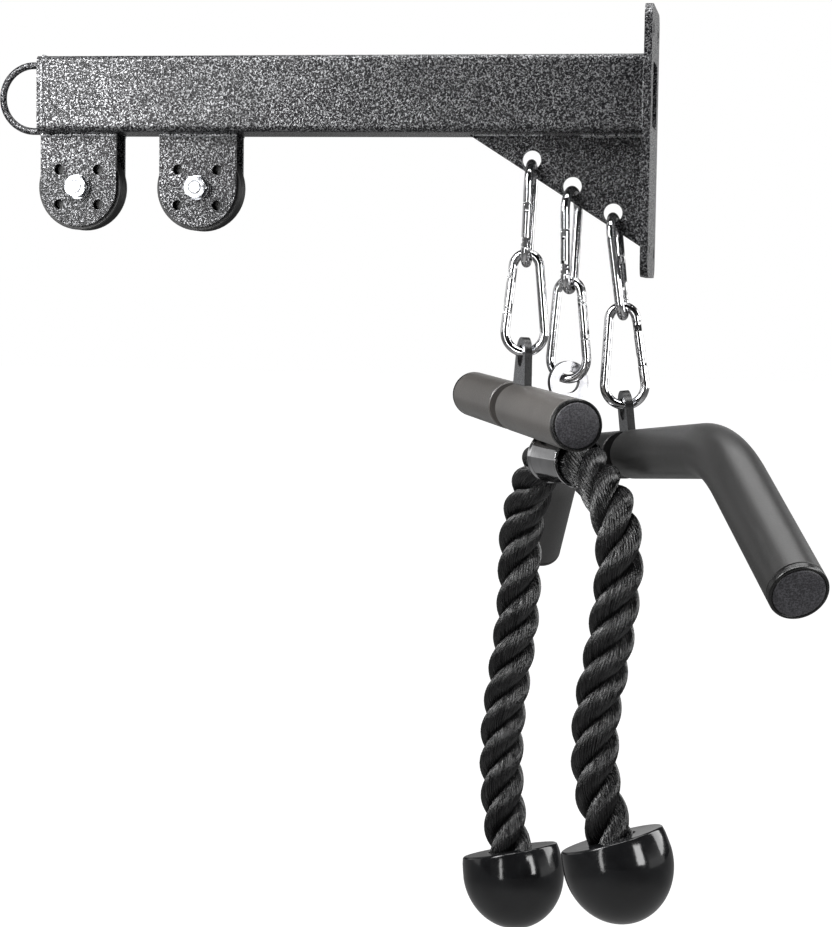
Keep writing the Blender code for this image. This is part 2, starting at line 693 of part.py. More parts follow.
def make_hooks(assembly, station, hole, body, gate):
    """The upper and lower snap hooks of one station; returns the lower one's foot."""
    top, link, foot = hang_point(station, hole)
    label = station["label"]
    upper_turn = radians(-station["upper_yaw"]) + (0.0 if station["upper_gate_front"] else pi)
    upper = (Matrix.Translation(top) @ Matrix.Rotation(radians(-station["upper_lean"]), 4, "Y")
             @ Matrix.Rotation(upper_turn, 4, "Z"))
    lower_turn = radians(station["lower_yaw"]) + (-pi / 2 if station["lower_gate_right"] else pi / 2)
    lower = (Matrix.Translation(link) @ Matrix.Rotation(radians(-station["lower_lean"]), 4, "Y")
             @ Matrix.Rotation(lower_turn, 4, "Z"))
    upside_down = at(z=-HOOK_REACH) @ Matrix.Rotation(pi, 4, "X")
    for level, frame, place in (("upper", upper, Matrix()), ("lower", lower, upside_down)):
        pivot = assembly.pivot(f"hook_{label}_{level}_pivot", frame)
        assembly.add(f"hook_{label}_{level}_body", body, "polished_steel", place, pivot)
        hinge = assembly.pivot(f"hook_{label}_{level}_hinge", frame @ place @ leg_frame(gate_rivet()))
        assembly.add(f"hook_{label}_{level}_gate", gate, "polished_steel", carrier=hinge)
    return foot


# Attachments: each has its origin on the hook's wire, +X along its bar or sleeve towards the
# viewer, +Y along the hole's axis or across the sleeve, and +Z up

def hanging_frame(foot, pose):
    """Frame of an attachment at the foot of its lower hook."""
    return (Matrix.Translation(foot) @ Matrix.Rotation(radians(pose["yaw"] - 90), 4, "Z")
            @ Matrix.Rotation(radians(pose["tilt"]), 4, "Y")
            @ Matrix.Rotation(radians(pose["roll"]), 4, "X"))


def lug_plate(reach, base_width):
    """Tapered lug about its hole, standing on a bar at the given reach below the hole."""
    radius = LUG_HOLE_DIAMETER / 2 + LUG_EYE_WALL
    foot = -(reach - BAR_DIAMETER / 2 - SEAT_GAP)
    half = base_width / 2
    outline = [(half, foot)] + arc((0.0, 0.0), radius, 0, 180, 12) + [(-half, foot)]
    hole = circle(LUG_HOLE_DIAMETER / 2, ROUND_SEGMENTS)
    return moved(plate(outline, LUG_THICKNESS, [hole]), UPRIGHT_ALONG_BEAM)


def end_plug():
    """Domed end plug on +Z: its spigot fills the bar's bore below the flange."""
    rim = GRIP_DIAMETER / 2
    spigot = BAR_DIAMETER / 2 - BAR_WALL - PLUG_SPIGOT_GAP
    crown = rim - PLUG_RIM
    flat = PLUG_THICKNESS - PLUG_DOME
    shoulder = (crown * PLUG_SHOULDER_SHARE, PLUG_THICKNESS - PLUG_DOME * PLUG_FALL_SHARE)
    profile = ((0.0, PLUG_THICKNESS), shoulder, (crown, flat), (rim, flat - GRIP_CHAMFER), (rim, 0.0),
               (spigot, 0.0), (spigot, -PLUG_SPIGOT_LENGTH), (0.0, -PLUG_SPIGOT_LENGTH))
    return turned(profile, ROUND_SEGMENTS)


def lug_drop():
    """How far a lug's hole centre hangs below its hook's wire centre."""
    return LUG_HOLE_DIAMETER / 2 - WIRE_RADIUS - LUG_SEAT_GAP


def straight_grip(start, end):
    """Foam sleeve along X between two places on the bar."""
    outer = GRIP_DIAMETER / 2
    half = (end - start) / 2
    profile = ((outer - GRIP_CHAMFER, half), (outer, half - GRIP_CHAMFER),
               (outer, GRIP_CHAMFER - half), (outer - GRIP_CHAMFER, -half),
               (GRIP_BORE_RADIUS, -half), (GRIP_BORE_RADIUS, half))
    grip = moved(turned(profile, ROUND_SEGMENTS, closed=True), ALONG_X)
    return moved(grip, at(x=(start + end) / 2))


def make_straight_bar(assembly, foot):
    """Short straight bar on the first station."""
    pivot = assembly.pivot("straight_bar_pivot", hanging_frame(foot, STRAIGHT_BAR_POSE))
    lug = lug_plate(STRAIGHT_LUG_REACH, STRAIGHT_LUG_BASE)
    assembly.add("straight_bar_lug", lug, "bright_zinc", at(z=-lug_drop()), pivot)
    axis = at(z=-lug_drop() - STRAIGHT_LUG_REACH)
    grip_end = STRAIGHT_HALF_LENGTH - PLUG_THICKNESS - SEAT_GAP
    tube = ring(BAR_DIAMETER / 2, BAR_DIAMETER / 2 - BAR_WALL, 2 * grip_end, ROUND_SEGMENTS)
    assembly.add("straight_bar_tube", moved(tube, ALONG_X), "black_paint", axis, pivot)
    near_grip = straight_grip(STRAIGHT_NEAR_GRIP_START, grip_end)
    slit_end = STRAIGHT_LUG_BASE / 2 + SLIT_GAP
    slit_length = slit_end - STRAIGHT_NEAR_GRIP_START + CUT_OVERRUN
    slit = moved(box((slit_length, LUG_THICKNESS + 2 * SLIT_GAP, GRIP_DIAMETER)),
                 at(x=slit_end - slit_length / 2, z=GRIP_DIAMETER / 2))
    near_grip = combined(near_grip, slit, "DIFFERENCE")
    assembly.add("straight_bar_near_grip", near_grip, "foam", axis, pivot)
    far_grip = straight_grip(-grip_end, -STRAIGHT_FAR_GRIP_START)
    assembly.add("straight_bar_far_grip", far_grip, "foam", axis, pivot)
    near_end = axis @ at(x=grip_end + SEAT_GAP) @ ALONG_X
    far_end = axis @ at(x=-grip_end - SEAT_GAP) @ ALONG_X.inverted()
    plug = end_plug()
    assembly.add("straight_bar_near_plug", plug, "plug_plastic", near_end, pivot)
    assembly.add("straight_bar_far_plug", plug, "plug_plastic", far_end, pivot)


def long_bar_half(start, short_of_end):
    """Centreline of one half of the long bar in its XZ plane, from a place near its middle."""
    bend = radians(BAR_BEND)
    tangent = LONG_BEND_RADIUS * tan(bend / 2)
    centre = (LONG_HALF_SPAN - tangent, -LONG_BEND_RADIUS)
    points = [(start, 0.0)] + arc(centre, LONG_BEND_RADIUS, 90, 90 - BAR_BEND, 6)
    arm = LONG_ARM_LENGTH - short_of_end
    points.append((LONG_HALF_SPAN + arm * cos(bend), -arm * sin(bend)))
    return [(x, 0.0, z) for x, z in points]


def mirrored(points):
    """The other half of the long bar, in the same order from its middle."""
    return [(-x, y, z) for x, y, z in points]


def stretched(points, extra):
    """The same route with its last point run on by a length."""
    last = Vector(points[-1])
    on = (last - Vector(points[-2])).normalized() * extra
    return list(points[:-1]) + [tuple(last + on)]


def hollow_bar(points, outer, inner, resolution):
    """Tube with open ends along a list of points."""
    bore = stretched(points, CUT_OVERRUN)
    bore = list(reversed(stretched(list(reversed(bore)), CUT_OVERRUN)))
    body = round_bar(points, outer, resolution)
    return combined(body, round_bar(bore, inner, resolution), "DIFFERENCE")


def make_long_bar(assembly, foot):
    """Long bar with bent ends on the third station."""
    pivot = assembly.pivot("long_bar_pivot", hanging_frame(foot, LONG_BAR_POSE))
    lug = lug_plate(LONG_LUG_REACH, LONG_LUG_BASE)
    assembly.add("long_bar_lug", lug, "bright_zinc", at(z=-lug_drop()), pivot)
    axis = at(z=-lug_drop() - LONG_LUG_REACH)
    end_gap = PLUG_THICKNESS + SEAT_GAP
    half = long_bar_half(LONG_GRIP_START, end_gap)
    whole = list(reversed(mirrored(half[1:]))) + half[1:]
    bar_radius = BAR_DIAMETER / 2
    tube = hollow_bar(whole, bar_radius, bar_radius - BAR_WALL, BAR_RESOLUTION)
    assembly.add("long_bar_tube", tube, "black_paint", axis, pivot)
    bend = radians(BAR_BEND)
    plug = end_plug()
    for label, side in (("near", 1), ("far", -1)):
        points = half if side == 1 else mirrored(half)
        grip = hollow_bar(points, GRIP_DIAMETER / 2, GRIP_BORE_RADIUS, BAR_RESOLUTION)
        assembly.add(f"long_bar_{label}_grip", grip, "foam", axis, pivot)
        tip = Vector(points[-1])
        outward = Vector((side * cos(bend), 0.0, -sin(bend)))
        seat = Matrix.Translation(tip + outward * SEAT_GAP)
        turn = Matrix.Rotation(side * (pi / 2 + bend), 4, "Y")
        assembly.add(f"long_bar_{label}_plug", plug, "plug_plastic", axis @ seat @ turn, pivot)


# Pull-down rope

def smooth_route(points, steps=8):
    """Catmull-Rom curve through the route's points."""
    knots = [Vector(point) for point in points]
    knots = [2 * knots[0] - knots[1]] + knots + [2 * knots[-1] - knots[-2]]
    curve = []
    for before, start, end, after in zip(knots, knots[1:], knots[2:], knots[3:]):
        for index in range(steps):
            t = index / steps
            curve.append(((2 * start) + (end - before) * t
                          + (2 * before - 5 * start + 4 * end - after) * t ** 2
                          + (3 * start - before - 3 * end + after) * t ** 3) / 2)
    curve.append(knots[-2])
    return curve


def stretch(curve, start, end, step):
    """Evenly spaced points of a curve between two places along it."""
    lengths = [0.0]
    for here, there in zip(curve, curve[1:]):
        lengths.append(lengths[-1] + (there - here).length)
    count = max(2, round((end - start) / step))
    points = []
    for index in range(count + 1):
        goal = start + (end - start) * index / count
        segment = max(i for i, length in enumerate(lengths[:-1]) if length <= goal + WELD_DISTANCE)
        span = lengths[segment + 1] - lengths[segment]
        points.append(tuple(curve[segment].lerp(curve[segment + 1], (goal - lengths[segment]) / span)))
    return points


def length_to(curve, point):
    """Length along a curve to the knot nearest a point."""
    nearest = min(range(len(curve)), key=lambda index: (curve[index] - Vector(point)).length)
    return sum((curve[i + 1] - curve[i]).length for i in range(nearest))


def sleeve_profile():
    """Section of the rope's sleeve, with a rolled lip at each end."""
    bore = SLEEVE_BORE / 2
    outer = bore + SLEEVE_WALL
    lip = outer + SLEEVE_LIP
    half = SLEEVE_LENGTH / 2
    inner_end = half - SLEEVE_LIP_LENGTH
    return ((lip, half), (lip, inner_end), (outer, inner_end - SLEEVE_LIP),
            (outer, SLEEVE_LIP - inner_end), (lip, -inner_end), (lip, -half),
            (bore, -half), (bore, half))


def eye_outline(drop):
    """Ring-shaped eye with a straight neck down to the sleeve."""
    radius = EYE_DIAMETER / 2
    half = EYE_NECK_WIDTH / 2
    open_angle = asin(half / radius) * 180 / pi
    ring_part = arc((0.0, 0.0), radius, open_angle - 90, 270 - open_angle, 20)
    return [(half, -drop)] + ring_part + [(-half, -drop)]


def ball_profile():
    """Section of a ball end: rope socket, flat top, shoulder and domed foot."""
    socket = ROPE_RADIUS + BALL_SOCKET_GAP
    top = BALL_TOP_DIAMETER / 2
    radius = BALL_DIAMETER / 2
    depth = BALL_HEIGHT - BALL_SHOULDER
    dome = [(radius * cos(radians(turn)), -BALL_SHOULDER - depth * sin(radians(turn)))
            for turn in (0, 15, 30, 45, 60, 75)]
    return [(0.0, -BALL_SOCKET_DEPTH), (socket, -BALL_SOCKET_DEPTH), (socket, 0.0),
            (top - BALL_TOP_EDGE, 0.0), (top, -BALL_TOP_EDGE)] + dome + [(0.0, -BALL_HEIGHT)]


def make_rope_arm(assembly, label, curve, hinge, mouth, tip, carrier):
    """One hanging arm of the rope, domed at its hinge, with its ball."""
    step = ROPE_DIAMETER * ROPE_STEP_SHARE
    start = length_to(curve, hinge)
    end = length_to(curve, tip)
    points = stretch(curve, min(start, end), max(start, end), step)
    arm = round_bar(points, ROPE_RADIUS, ROPE_RESOLUTION)
    edit = bmesh.new()
    bmesh.ops.create_uvsphere(edit, u_segments=SMALL_SEGMENTS, v_segments=6,
                              radius=ROPE_RADIUS, matrix=Matrix.Translation(hinge))
    dome = bpy.data.meshes.new("dome")
    edit.to_mesh(dome)
    edit.free()
    arm = combined(arm, dome, "UNION")
    back_to_hinge = Matrix.Translation(-Vector(hinge))
    pivot = assembly.pivot(f"rope_{label}_pivot", carrier @ Matrix.Translation(hinge))
    assembly.add(f"rope_{label}_arm", moved(arm, back_to_hinge), "rope", carrier=pivot)
    axis = (Vector(mouth) - Vector(tip)).normalized()
    ball_place = (back_to_hinge @ Matrix.Translation(mouth)
                  @ Vector((0.0, 0.0, 1.0)).rotation_difference(axis).to_matrix().to_4x4())
    ball = turned(ball_profile(), ROUND_SEGMENTS)
    assembly.add(f"rope_{label}_ball", ball, "gloss_rubber", ball_place, pivot)


def make_rope(assembly, foot):
    """Pull-down rope on the second station: eye, sleeve, rope and ball ends."""
    frame = hanging_frame(foot, ROPE_POSE)
    pivot = assembly.pivot("rope_eye_pivot", frame)
    eye_centre = -(EYE_HOLE_DIAMETER / 2 - WIRE_RADIUS - EYE_SEAT_GAP)
    sleeve_top = SLEEVE_BORE / 2 + SLEEVE_WALL
    drop = EYE_REACH - sleeve_top - SEAT_GAP
    hole = circle(EYE_HOLE_DIAMETER / 2, ROUND_SEGMENTS)
    eye = moved(plate(eye_outline(drop), EYE_THICKNESS, [hole]), UPRIGHT_ACROSS_BEAM)
    assembly.add("rope_eye", eye, "chrome", at(z=eye_centre), pivot)
    sleeve_centre = at(z=eye_centre - EYE_REACH)
    sleeve = moved(turned(sleeve_profile(), ROUND_SEGMENTS, closed=True), ALONG_X)
    assembly.add("rope_sleeve", sleeve, "chrome", sleeve_centre, pivot)

    curve = smooth_route(ROPE_ROUTE)
    far_hinge = ROPE_ROUTE[FAR_HINGE_POINT]
    near_hinge = ROPE_ROUTE[NEAR_HINGE_POINT]
    clear_of_dome = ROPE_RADIUS + ROPE_HINGE_GAP
    points = stretch(curve, length_to(curve, far_hinge) + clear_of_dome,
                     length_to(curve, near_hinge) - clear_of_dome, ROPE_DIAMETER * MIDDLE_STEP_SHARE)
    middle = round_bar(points, ROPE_RADIUS, ROPE_RESOLUTION)
    assembly.add("rope_middle", middle, "rope", sleeve_centre, pivot)
    carrier = frame @ sleeve_centre
    far_mouth = ROPE_ROUTE[BALL_MOUTH_POINT]
    near_mouth = ROPE_ROUTE[-1 - BALL_MOUTH_POINT]
    make_rope_arm(assembly, "far", curve, far_hinge, far_mouth, ROPE_ROUTE[0], carrier)
    make_rope_arm(assembly, "near", curve, near_hinge, near_mouth, ROPE_ROUTE[-1], carrier)


def main():
    """Build the whole machine."""
    empty_scene()
    assembly = Assembly(COLLECTION_NAME)
    make_wall_plate(assembly)
    make_beam(assembly)
    make_gusset(assembly)
    for number in (1, 2):
        make_pulley(assembly, number, CAP_OUTSIDE + PULLEY_INSET + (number - 1) * PULLEY_PITCH)
    body = make_hook_body()
    gate = make_hook_gate()
    feet = [make_hooks(assembly, station, hook_hole(index), body, gate)
            for index, station in enumerate(STATIONS)]
    make_straight_bar(assembly, feet[0])
    make_rope(assembly, feet[1])
    make_long_bar(assembly, feet[2])
    bpy.context.view_layer.update()


if __name__ == "__main__":
    main()
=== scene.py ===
"""Finished look of a wall-mounted cable machine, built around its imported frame.

Metres, +Z up, +X towards the wall, the viewer on the -Y side. The arm, its pulley blocks, the
snap hooks and the three attachments are each a class that makes its meshes and finishes them.
"""

from __future__ import annotations

import json
import logging
from dataclasses import dataclass
from enum import Enum
from math import asin, cos, degrees, pi, radians, sin, sqrt, tan
from typing import Sequence

import bmesh
import bpy
from bpy.types import Material, Mesh, Node, NodeSocket, NodeTree, Object
from mathutils import Matrix, Vector


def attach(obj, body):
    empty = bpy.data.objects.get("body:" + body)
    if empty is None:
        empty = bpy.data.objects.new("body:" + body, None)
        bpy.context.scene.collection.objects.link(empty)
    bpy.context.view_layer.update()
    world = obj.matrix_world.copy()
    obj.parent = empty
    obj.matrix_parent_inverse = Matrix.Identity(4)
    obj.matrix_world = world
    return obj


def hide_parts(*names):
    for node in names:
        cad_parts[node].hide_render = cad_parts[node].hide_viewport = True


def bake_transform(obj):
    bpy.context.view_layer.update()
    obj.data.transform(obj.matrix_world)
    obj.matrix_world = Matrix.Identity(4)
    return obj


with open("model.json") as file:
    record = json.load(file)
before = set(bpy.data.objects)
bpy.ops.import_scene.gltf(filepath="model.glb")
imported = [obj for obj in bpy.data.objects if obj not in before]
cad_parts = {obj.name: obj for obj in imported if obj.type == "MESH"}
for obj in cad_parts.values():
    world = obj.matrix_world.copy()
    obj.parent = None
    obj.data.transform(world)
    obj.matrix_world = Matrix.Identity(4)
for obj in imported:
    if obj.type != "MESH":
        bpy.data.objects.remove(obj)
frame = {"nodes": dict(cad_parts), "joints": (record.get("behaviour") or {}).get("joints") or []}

LOG = logging.getLogger("cable_machine")

Flat = tuple[float, float]
Place = tuple[float, float, float]
Colour = tuple[float, float, float]
Inputs = dict[str | int, object]
Sockets = bpy.types.bpy_prop_collection

UPRIGHT_ALONG_BEAM = Matrix.Rotation(pi / 2, 4, "X")
UPRIGHT_ACROSS_BEAM = Matrix(((0, 0, 1, 0), (1, 0, 0, 0), (0, 1, 0, 0), (0, 0, 0, 1)))
ALONG_X = Matrix.Rotation(pi / 2, 4, "Y")
ALONG_Y = Matrix.Rotation(pi / 2, 4, "X")

MERGE_DISTANCE = 0.000003
SMOOTH_ANGLE = 38.0
BEVEL_ANGLE = 42.0
SWEEP_MAP = "sweep"
ALONG = "along"
ROUND = "round"


class Slot(Enum):
    """Material slots of the record."""

    HAMMERED_PAINT = "hammered_paint"
    ZINC = "bright_zinc"
    WIRE = "polished_steel"
    CHROME = "chrome"
    NYLON = "black_nylon"
    BLACK_PAINT = "black_paint"
    FOAM = "foam"
    PLUG = "plug_plastic"
    ROPE = "rope"
    RUBBER = "gloss_rubber"


# Mesh tools

def at(x: float = 0.0, y: float = 0.0, z: float = 0.0) -> Matrix:
    """Translation matrix."""
    return Matrix.Translation((x, y, z))


def circle(radius: float, segments: int, centre: Flat = (0.0, 0.0)) -> list[Flat]:
    """Points of a circle in a plate's plane.

    Args:
        radius: Its radius.
        segments: How many points.
        centre: Its centre.

    Returns:
        The points, anticlockwise.
    """
    steps = [2 * pi * index / segments for index in range(segments)]
    return [(centre[0] + radius * cos(turn), centre[1] + radius * sin(turn)) for turn in steps]


def arc(centre: Flat, radius: float, start: float, end: float, steps: int) -> list[Flat]:
    """Points of an arc in a plate's plane.

    Args:
        centre: The arc's centre.
        radius: Its radius.
        start: First angle in degrees.
        end: Last angle in degrees.
        steps: How many steps between them.

    Returns:
        The points from start to end.
    """
    turns = [radians(start + (end - start) * index / steps) for index in range(steps + 1)]
    return [(centre[0] + radius * cos(turn), centre[1] + radius * sin(turn)) for turn in turns]


def rounded_rectangle(width: float, height: float, radius: float, steps: int = 8) -> list[Flat]:
    """Outline of a rectangle with rounded corners, centred on the origin.

    Args:
        width: Full width.
        height: Full height.
        radius: Corner radius.
        steps: Steps round each corner.

    Returns:
        The outline's points.
    """
    across = width / 2 - radius
    up = height / 2 - radius
    corners = ((across, up, 0), (-across, up, 90), (-across, -up, 180), (across, -up, 270))
    points: list[Flat] = []
    for x, y, start in corners:
        points += arc((x, y), radius, start, start + 90, steps)
    return points


def tidied(mesh: Mesh) -> Mesh:
    """The mesh with its doubles welded and its faces turned outwards."""
    edit = bmesh.new()
    edit.from_mesh(mesh)
    bmesh.ops.remove_doubles(edit, verts=edit.verts, dist=MERGE_DISTANCE)
    bmesh.ops.recalc_face_normals(edit, faces=edit.faces)
    edit.to_mesh(mesh)
    edit.free()
    return mesh


def baked(holder: Object, tidy: bool = True) -> Mesh:
    """The plain mesh that an object shows with its modifiers; the object is removed.

    Args:
        holder: Object outside every collection.
        tidy: Whether doubles are welded and faces turned outwards.

    Returns:
        The new mesh.
    """
    bpy.context.scene.collection.objects.link(holder)
    graph = bpy.context.evaluated_depsgraph_get()
    mesh = bpy.data.meshes.new_from_object(holder.evaluated_get(graph))
    bpy.data.objects.remove(holder, do_unlink=True)
    return tidied(mesh) if tidy else mesh


def moved(mesh: Mesh, matrix: Matrix) -> Mesh:
    """The same mesh, moved by a matrix."""
    mesh.transform(matrix)
    return mesh


def plate(outline: Sequence[Flat], thickness: float, holes: Sequence[Sequence[Flat]] = ()) -> Mesh:
    """Flat plate in the XY plane, centred on it.

    Args:
        outline: Its outer edge.
        thickness: Its thickness.
        holes: Outlines of its holes.

    Returns:
        The closed mesh.
    """
    curve = bpy.data.curves.new("outline", "CURVE")
    curve.dimensions = "2D"
    curve.fill_mode = "BOTH"
    curve.extrude = thickness / 2
    for loop in (outline, *holes):
        spline = curve.splines.new("POLY")
        spline.points.add(len(loop) - 1)
        for point, (x, y) in zip(spline.points, loop):
            point.co = (x, y, 0.0, 1.0)
        spline.use_cyclic_u = True
    return baked(bpy.data.objects.new("outline", curve))


def softened(mesh: Mesh, width: float, segments: int = 3) -> Mesh:
    """The mesh with its sharp edges rounded.

    Args:
        mesh: A closed mesh.
        width: Width of the rounding.
        segments: Facets across it.

    Returns:
        The rounded mesh.
    """
    holder = bpy.data.objects.new("edge", mesh)
    bevel = holder.modifiers.new("edge", "BEVEL")
    bevel.width = width
    bevel.segments = segments
    bevel.limit_method = "ANGLE"
    bevel.angle_limit = radians(BEVEL_ANGLE)
    return baked(holder)


def turned(profile: Sequence[Flat], segments: int, closed: bool = False) -> Mesh:
    """Solid of revolution about Z.

    Args:
        profile: Radius and height pairs down its outer side.
        segments: Facets round it.
        closed: Whether the profile closes on itself, as for a ring.

    Returns:
        The closed mesh.
    """
    mesh = bpy.data.meshes.new("profile")
    edges = [(index, index + 1) for index in range(len(profile) - 1)]
    if closed:
        edges.append((len(profile) - 1, 0))
    mesh.from_pydata([(radius, 0.0, height) for radius, height in profile], edges, [])
    holder = bpy.data.objects.new("profile", mesh)
    screw = holder.modifiers.new("turn", "SCREW")
    screw.steps = segments
    screw.render_steps = segments
    screw.use_merge_vertices = True
    screw.merge_threshold = MERGE_DISTANCE
    return baked(holder)


def ring(outer: float, inner: float, width: float, segments: int, chamfer: float) -> Mesh:
    """Ring about Z with chamfered edges, centred on its width."""
    half = width / 2
    profile = ((outer - chamfer, half), (outer, half - chamfer), (outer, chamfer - half),
               (outer - chamfer, -half), (inner + chamfer, -half), (inner, chamfer - half),
               (inner, half - chamfer), (inner + chamfer, half))
    return turned(profile, segments, closed=True)


def box(size: Place) -> Mesh:
    """Block centred on the origin, a tool for cuts."""
    edit = bmesh.new()
    bmesh.ops.create_cube(edit, size=1.0, matrix=Matrix.Diagonal((*size, 1.0)))
    mesh = bpy.data.meshes.new("box")
    edit.to_mesh(mesh)
    edit.free()
    return mesh


def combined(base: Mesh, tool: Mesh, operation: str) -> Mesh:
    """Join, cut or intersect two closed meshes.

    Args:
        base: The mesh that is kept.
        tool: The mesh that changes it.
        operation: UNION, DIFFERENCE or INTERSECT.

    Returns:
        The result.
    """
    holder = bpy.data.objects.new("base", base)
    cutter = bpy.data.objects.new("tool", tool)
    bpy.context.scene.collection.objects.link(cutter)
    boolean = holder.modifiers.new("boolean", "BOOLEAN")
    boolean.operation = operation
    boolean.solver = "EXACT"
    boolean.object = cutter
    mesh = baked(holder)
    bpy.data.objects.remove(cutter, do_unlink=True)
    return mesh


def gathered(meshes: Sequence[Mesh]) -> Mesh:
    """Several meshes in one, with their maps kept."""
    edit = bmesh.new()
    for mesh in meshes:
        edit.from_mesh(mesh)
    made = bpy.data.meshes.new("gathered")
    edit.to_mesh(made)
    edit.free()
    return made


@dataclass(frozen=True)
class Station:
    """One ring of a swept bar."""

    centre: Vector
    right: Vector
    up: Vector
    radius: float


def stations(path: Sequence[Vector], radii: Sequence[float]) -> list[Station]:
    """Rings square to a path, carried along it without twist.

    Args:
        path: Points of the centreline.
        radii: One radius for each point.

    Returns:
        One station for each point.
    """
    last = len(path) - 1
    tangents = [(path[min(index + 1, last)] - path[max(index - 1, 0)]).normalized()
                for index in range(last + 1)]
    right = tangents[0].orthogonal().normalized()
    made = []
    for point, tangent, radius in zip(path, tangents, radii):
        right = (right - tangent * right.dot(tangent)).normalized()
        made.append(Station(point, right, tangent.cross(right), radius))
    return made


def lofted(rings: Sequence[Station], segments: int, closed: bool) -> Mesh:
    """Skin over rings, with a map in metres round and along it.

    Args:
        rings: The rings in order.
        segments: Facets round each.
        closed: Whether the last ring joins the first, as for a tube with a wall.

    Returns:
        The closed mesh with the sweep map.
    """
    edit = bmesh.new()
    layer = edit.loops.layers.uv.new(SWEEP_MAP)
    turns = [2 * pi * index / segments for index in range(segments)]
    rows = [[edit.verts.new(one.centre + (one.right * cos(turn) + one.up * sin(turn)) * one.radius)
             for turn in turns] for one in rings]
    lengths = [0.0]
    for before, after in zip(rings, rings[1:]):
        step = (after.centre - before.centre).length + abs(after.radius - before.radius)
        lengths.append(lengths[-1] + step)
    girth = 2 * pi * max(one.radius for one in rings)
    pairs = [(index, index + 1) for index in range(len(rings) - 1)]
    if closed:
        pairs.append((len(rings) - 1, 0))
    for low, high in pairs:
        for index in range(segments):
            following = (index + 1) % segments
            face = edit.faces.new((rows[low][index], rows[low][following],
                                   rows[high][following], rows[high][index]))
            near, far = girth * index / segments, girth * (index + 1) / segments
            top = lengths[high] if high else lengths[-1]
            corners = ((near, lengths[low]), (far, lengths[low]), (far, top), (near, top))
            for loop, corner in zip(face.loops, corners):
                loop[layer].uv = corner
    if not closed:
        edit.faces.new(list(reversed(rows[0])))
        edit.faces.new(rows[-1])
    bmesh.ops.recalc_face_normals(edit, faces=edit.faces)
    mesh = bpy.data.meshes.new("loft")
    edit.to_mesh(mesh)
    edit.free()
    return mesh


def bar_skin(path: Sequence[Vector], radius: float, edge: float) -> list[Station]:
    """Rings of a round bar's outside, with an easing of a given size at each end."""
    first = path[0] + (path[1] - path[0]).normalized() * edge
    last = path[-1] + (path[-2] - path[-1]).normalized() * edge
    route = [path[0], first, *path[1:-1], last, path[-1]]
    return stations(route, [radius - edge, *[radius] * len(path), radius - edge])


def solid_bar(path: Sequence[Vector], radius: float, segments: int, edge: float) -> Mesh:
    """Round bar along a path with eased ends.

    Args:
        path: Points of the centreline.
        radius: Its radius.
        segments: Facets round it.
        edge: Size of the easing at its ends.

    Returns:
        The closed mesh with the sweep map.
    """
    return lofted(bar_skin(path, radius, edge), segments, closed=False)


def hollow_bar(path: Sequence[Vector], outer: float, inner: float, segments: int,
               edge: float) -> Mesh:
    """Round tube with a wall along a path, its outer ends eased.

    Args:
        path: Points of the centreline.
        outer: Outer radius.
        inner: Bore radius.
        segments: Facets round it.
        edge: Size of the easing at its ends.

    Returns:
        The closed mesh with the sweep map.
    """
    skin = bar_skin(path, outer, edge)
    bore = [Station(one.centre, one.right, one.up, inner) for one in reversed(skin)]
    return lofted([*skin, *bore], segments, closed=True)


# Node trees

class NodeMaker:
    """Short way to add and join the nodes of a tree."""

    def __init__(self, tree: NodeTree) -> None:
        """Work on a tree."""
        self.tree = tree

    def add(self, kind: str, inputs: Inputs | None = None, **settings: object) -> Node:
        """Add a node.

        Args:
            kind: Node type.
            inputs: Value or socket for each of its inputs.
            **settings: The node's own properties.

        Returns:
            The node.
        """
        node = self.tree.nodes.new(kind)
        for key, value in settings.items():
            setattr(node, key, value)
        for key, value in (inputs or {}).items():
            self.put(node, key, value)
        return node

    def put(self, node: Node, key: str | int, value: object) -> None:
        """Set one input to a value, or join a socket to it.

        Args:
            node: The node.
            key: Name or number of its input.
            value: A socket, a plain value, or a colour without its alpha.
        """
        if isinstance(value, NodeSocket):
            self.tree.links.new(value, node.inputs[key])
        elif isinstance(value, tuple) and node.inputs[key].type == "RGBA":
            node.inputs[key].default_value = (*value, 1.0)
        else:
            node.inputs[key].default_value = value

    def maths(self, operation: str, first: object, second: object = 0.0) -> NodeSocket:
        """Result of a sum on two numbers or sockets."""
        return self.add("ShaderNodeMath", {0: first, 1: second}, operation=operation).outputs[0]


class TreeMaker(NodeMaker):
    """Builds a geometry tree that has named inputs."""

    def __init__(self, name: str, inputs: dict[str, str]) -> None:
        """Start a tree with a geometry input, the named ones and a geometry output.

        Args:
            name: The tree's name.
            inputs: Kind of socket of each input, by name.
        """
        super().__init__(bpy.data.node_groups.new(name, "GeometryNodeTree"))
        sockets = [("Geometry", "INPUT", "Geometry"),
                   *[(label, "INPUT", kind) for label, kind in inputs.items()],
                   ("Geometry", "OUTPUT", "Geometry")]
        for label, way, kind in sockets:
            self.tree.interface.new_socket(label, in_out=way, socket_type=f"NodeSocket{kind}")
        self.source = self.tree.nodes.new("NodeGroupInput")
        self.sink = self.tree.nodes.new("NodeGroupOutput")

    def entry(self, label: str) -> NodeSocket:
        """The socket that gives one of the tree's inputs."""
        return self.source.outputs[label]

    def vectors(self, operation: str, first: object, second: object | None = None) -> Node:
        """Node for a sum on vectors."""
        inputs = {0: first} if second is None else {0: first, 1: second}
        return self.add("ShaderNodeVectorMath", inputs, operation=operation)

    def scaled(self, vector: NodeSocket, factor: object) -> NodeSocket:
        """A vector times a number."""
        return self.add("ShaderNodeVectorMath", {0: vector, "Scale": factor},
                        operation="SCALE").outputs["Vector"]

    def close(self, geometry: NodeSocket) -> NodeTree:
        """Send the geometry out and return the tree."""
        self.tree.links.new(geometry, self.sink.inputs["Geometry"])
        return self.tree


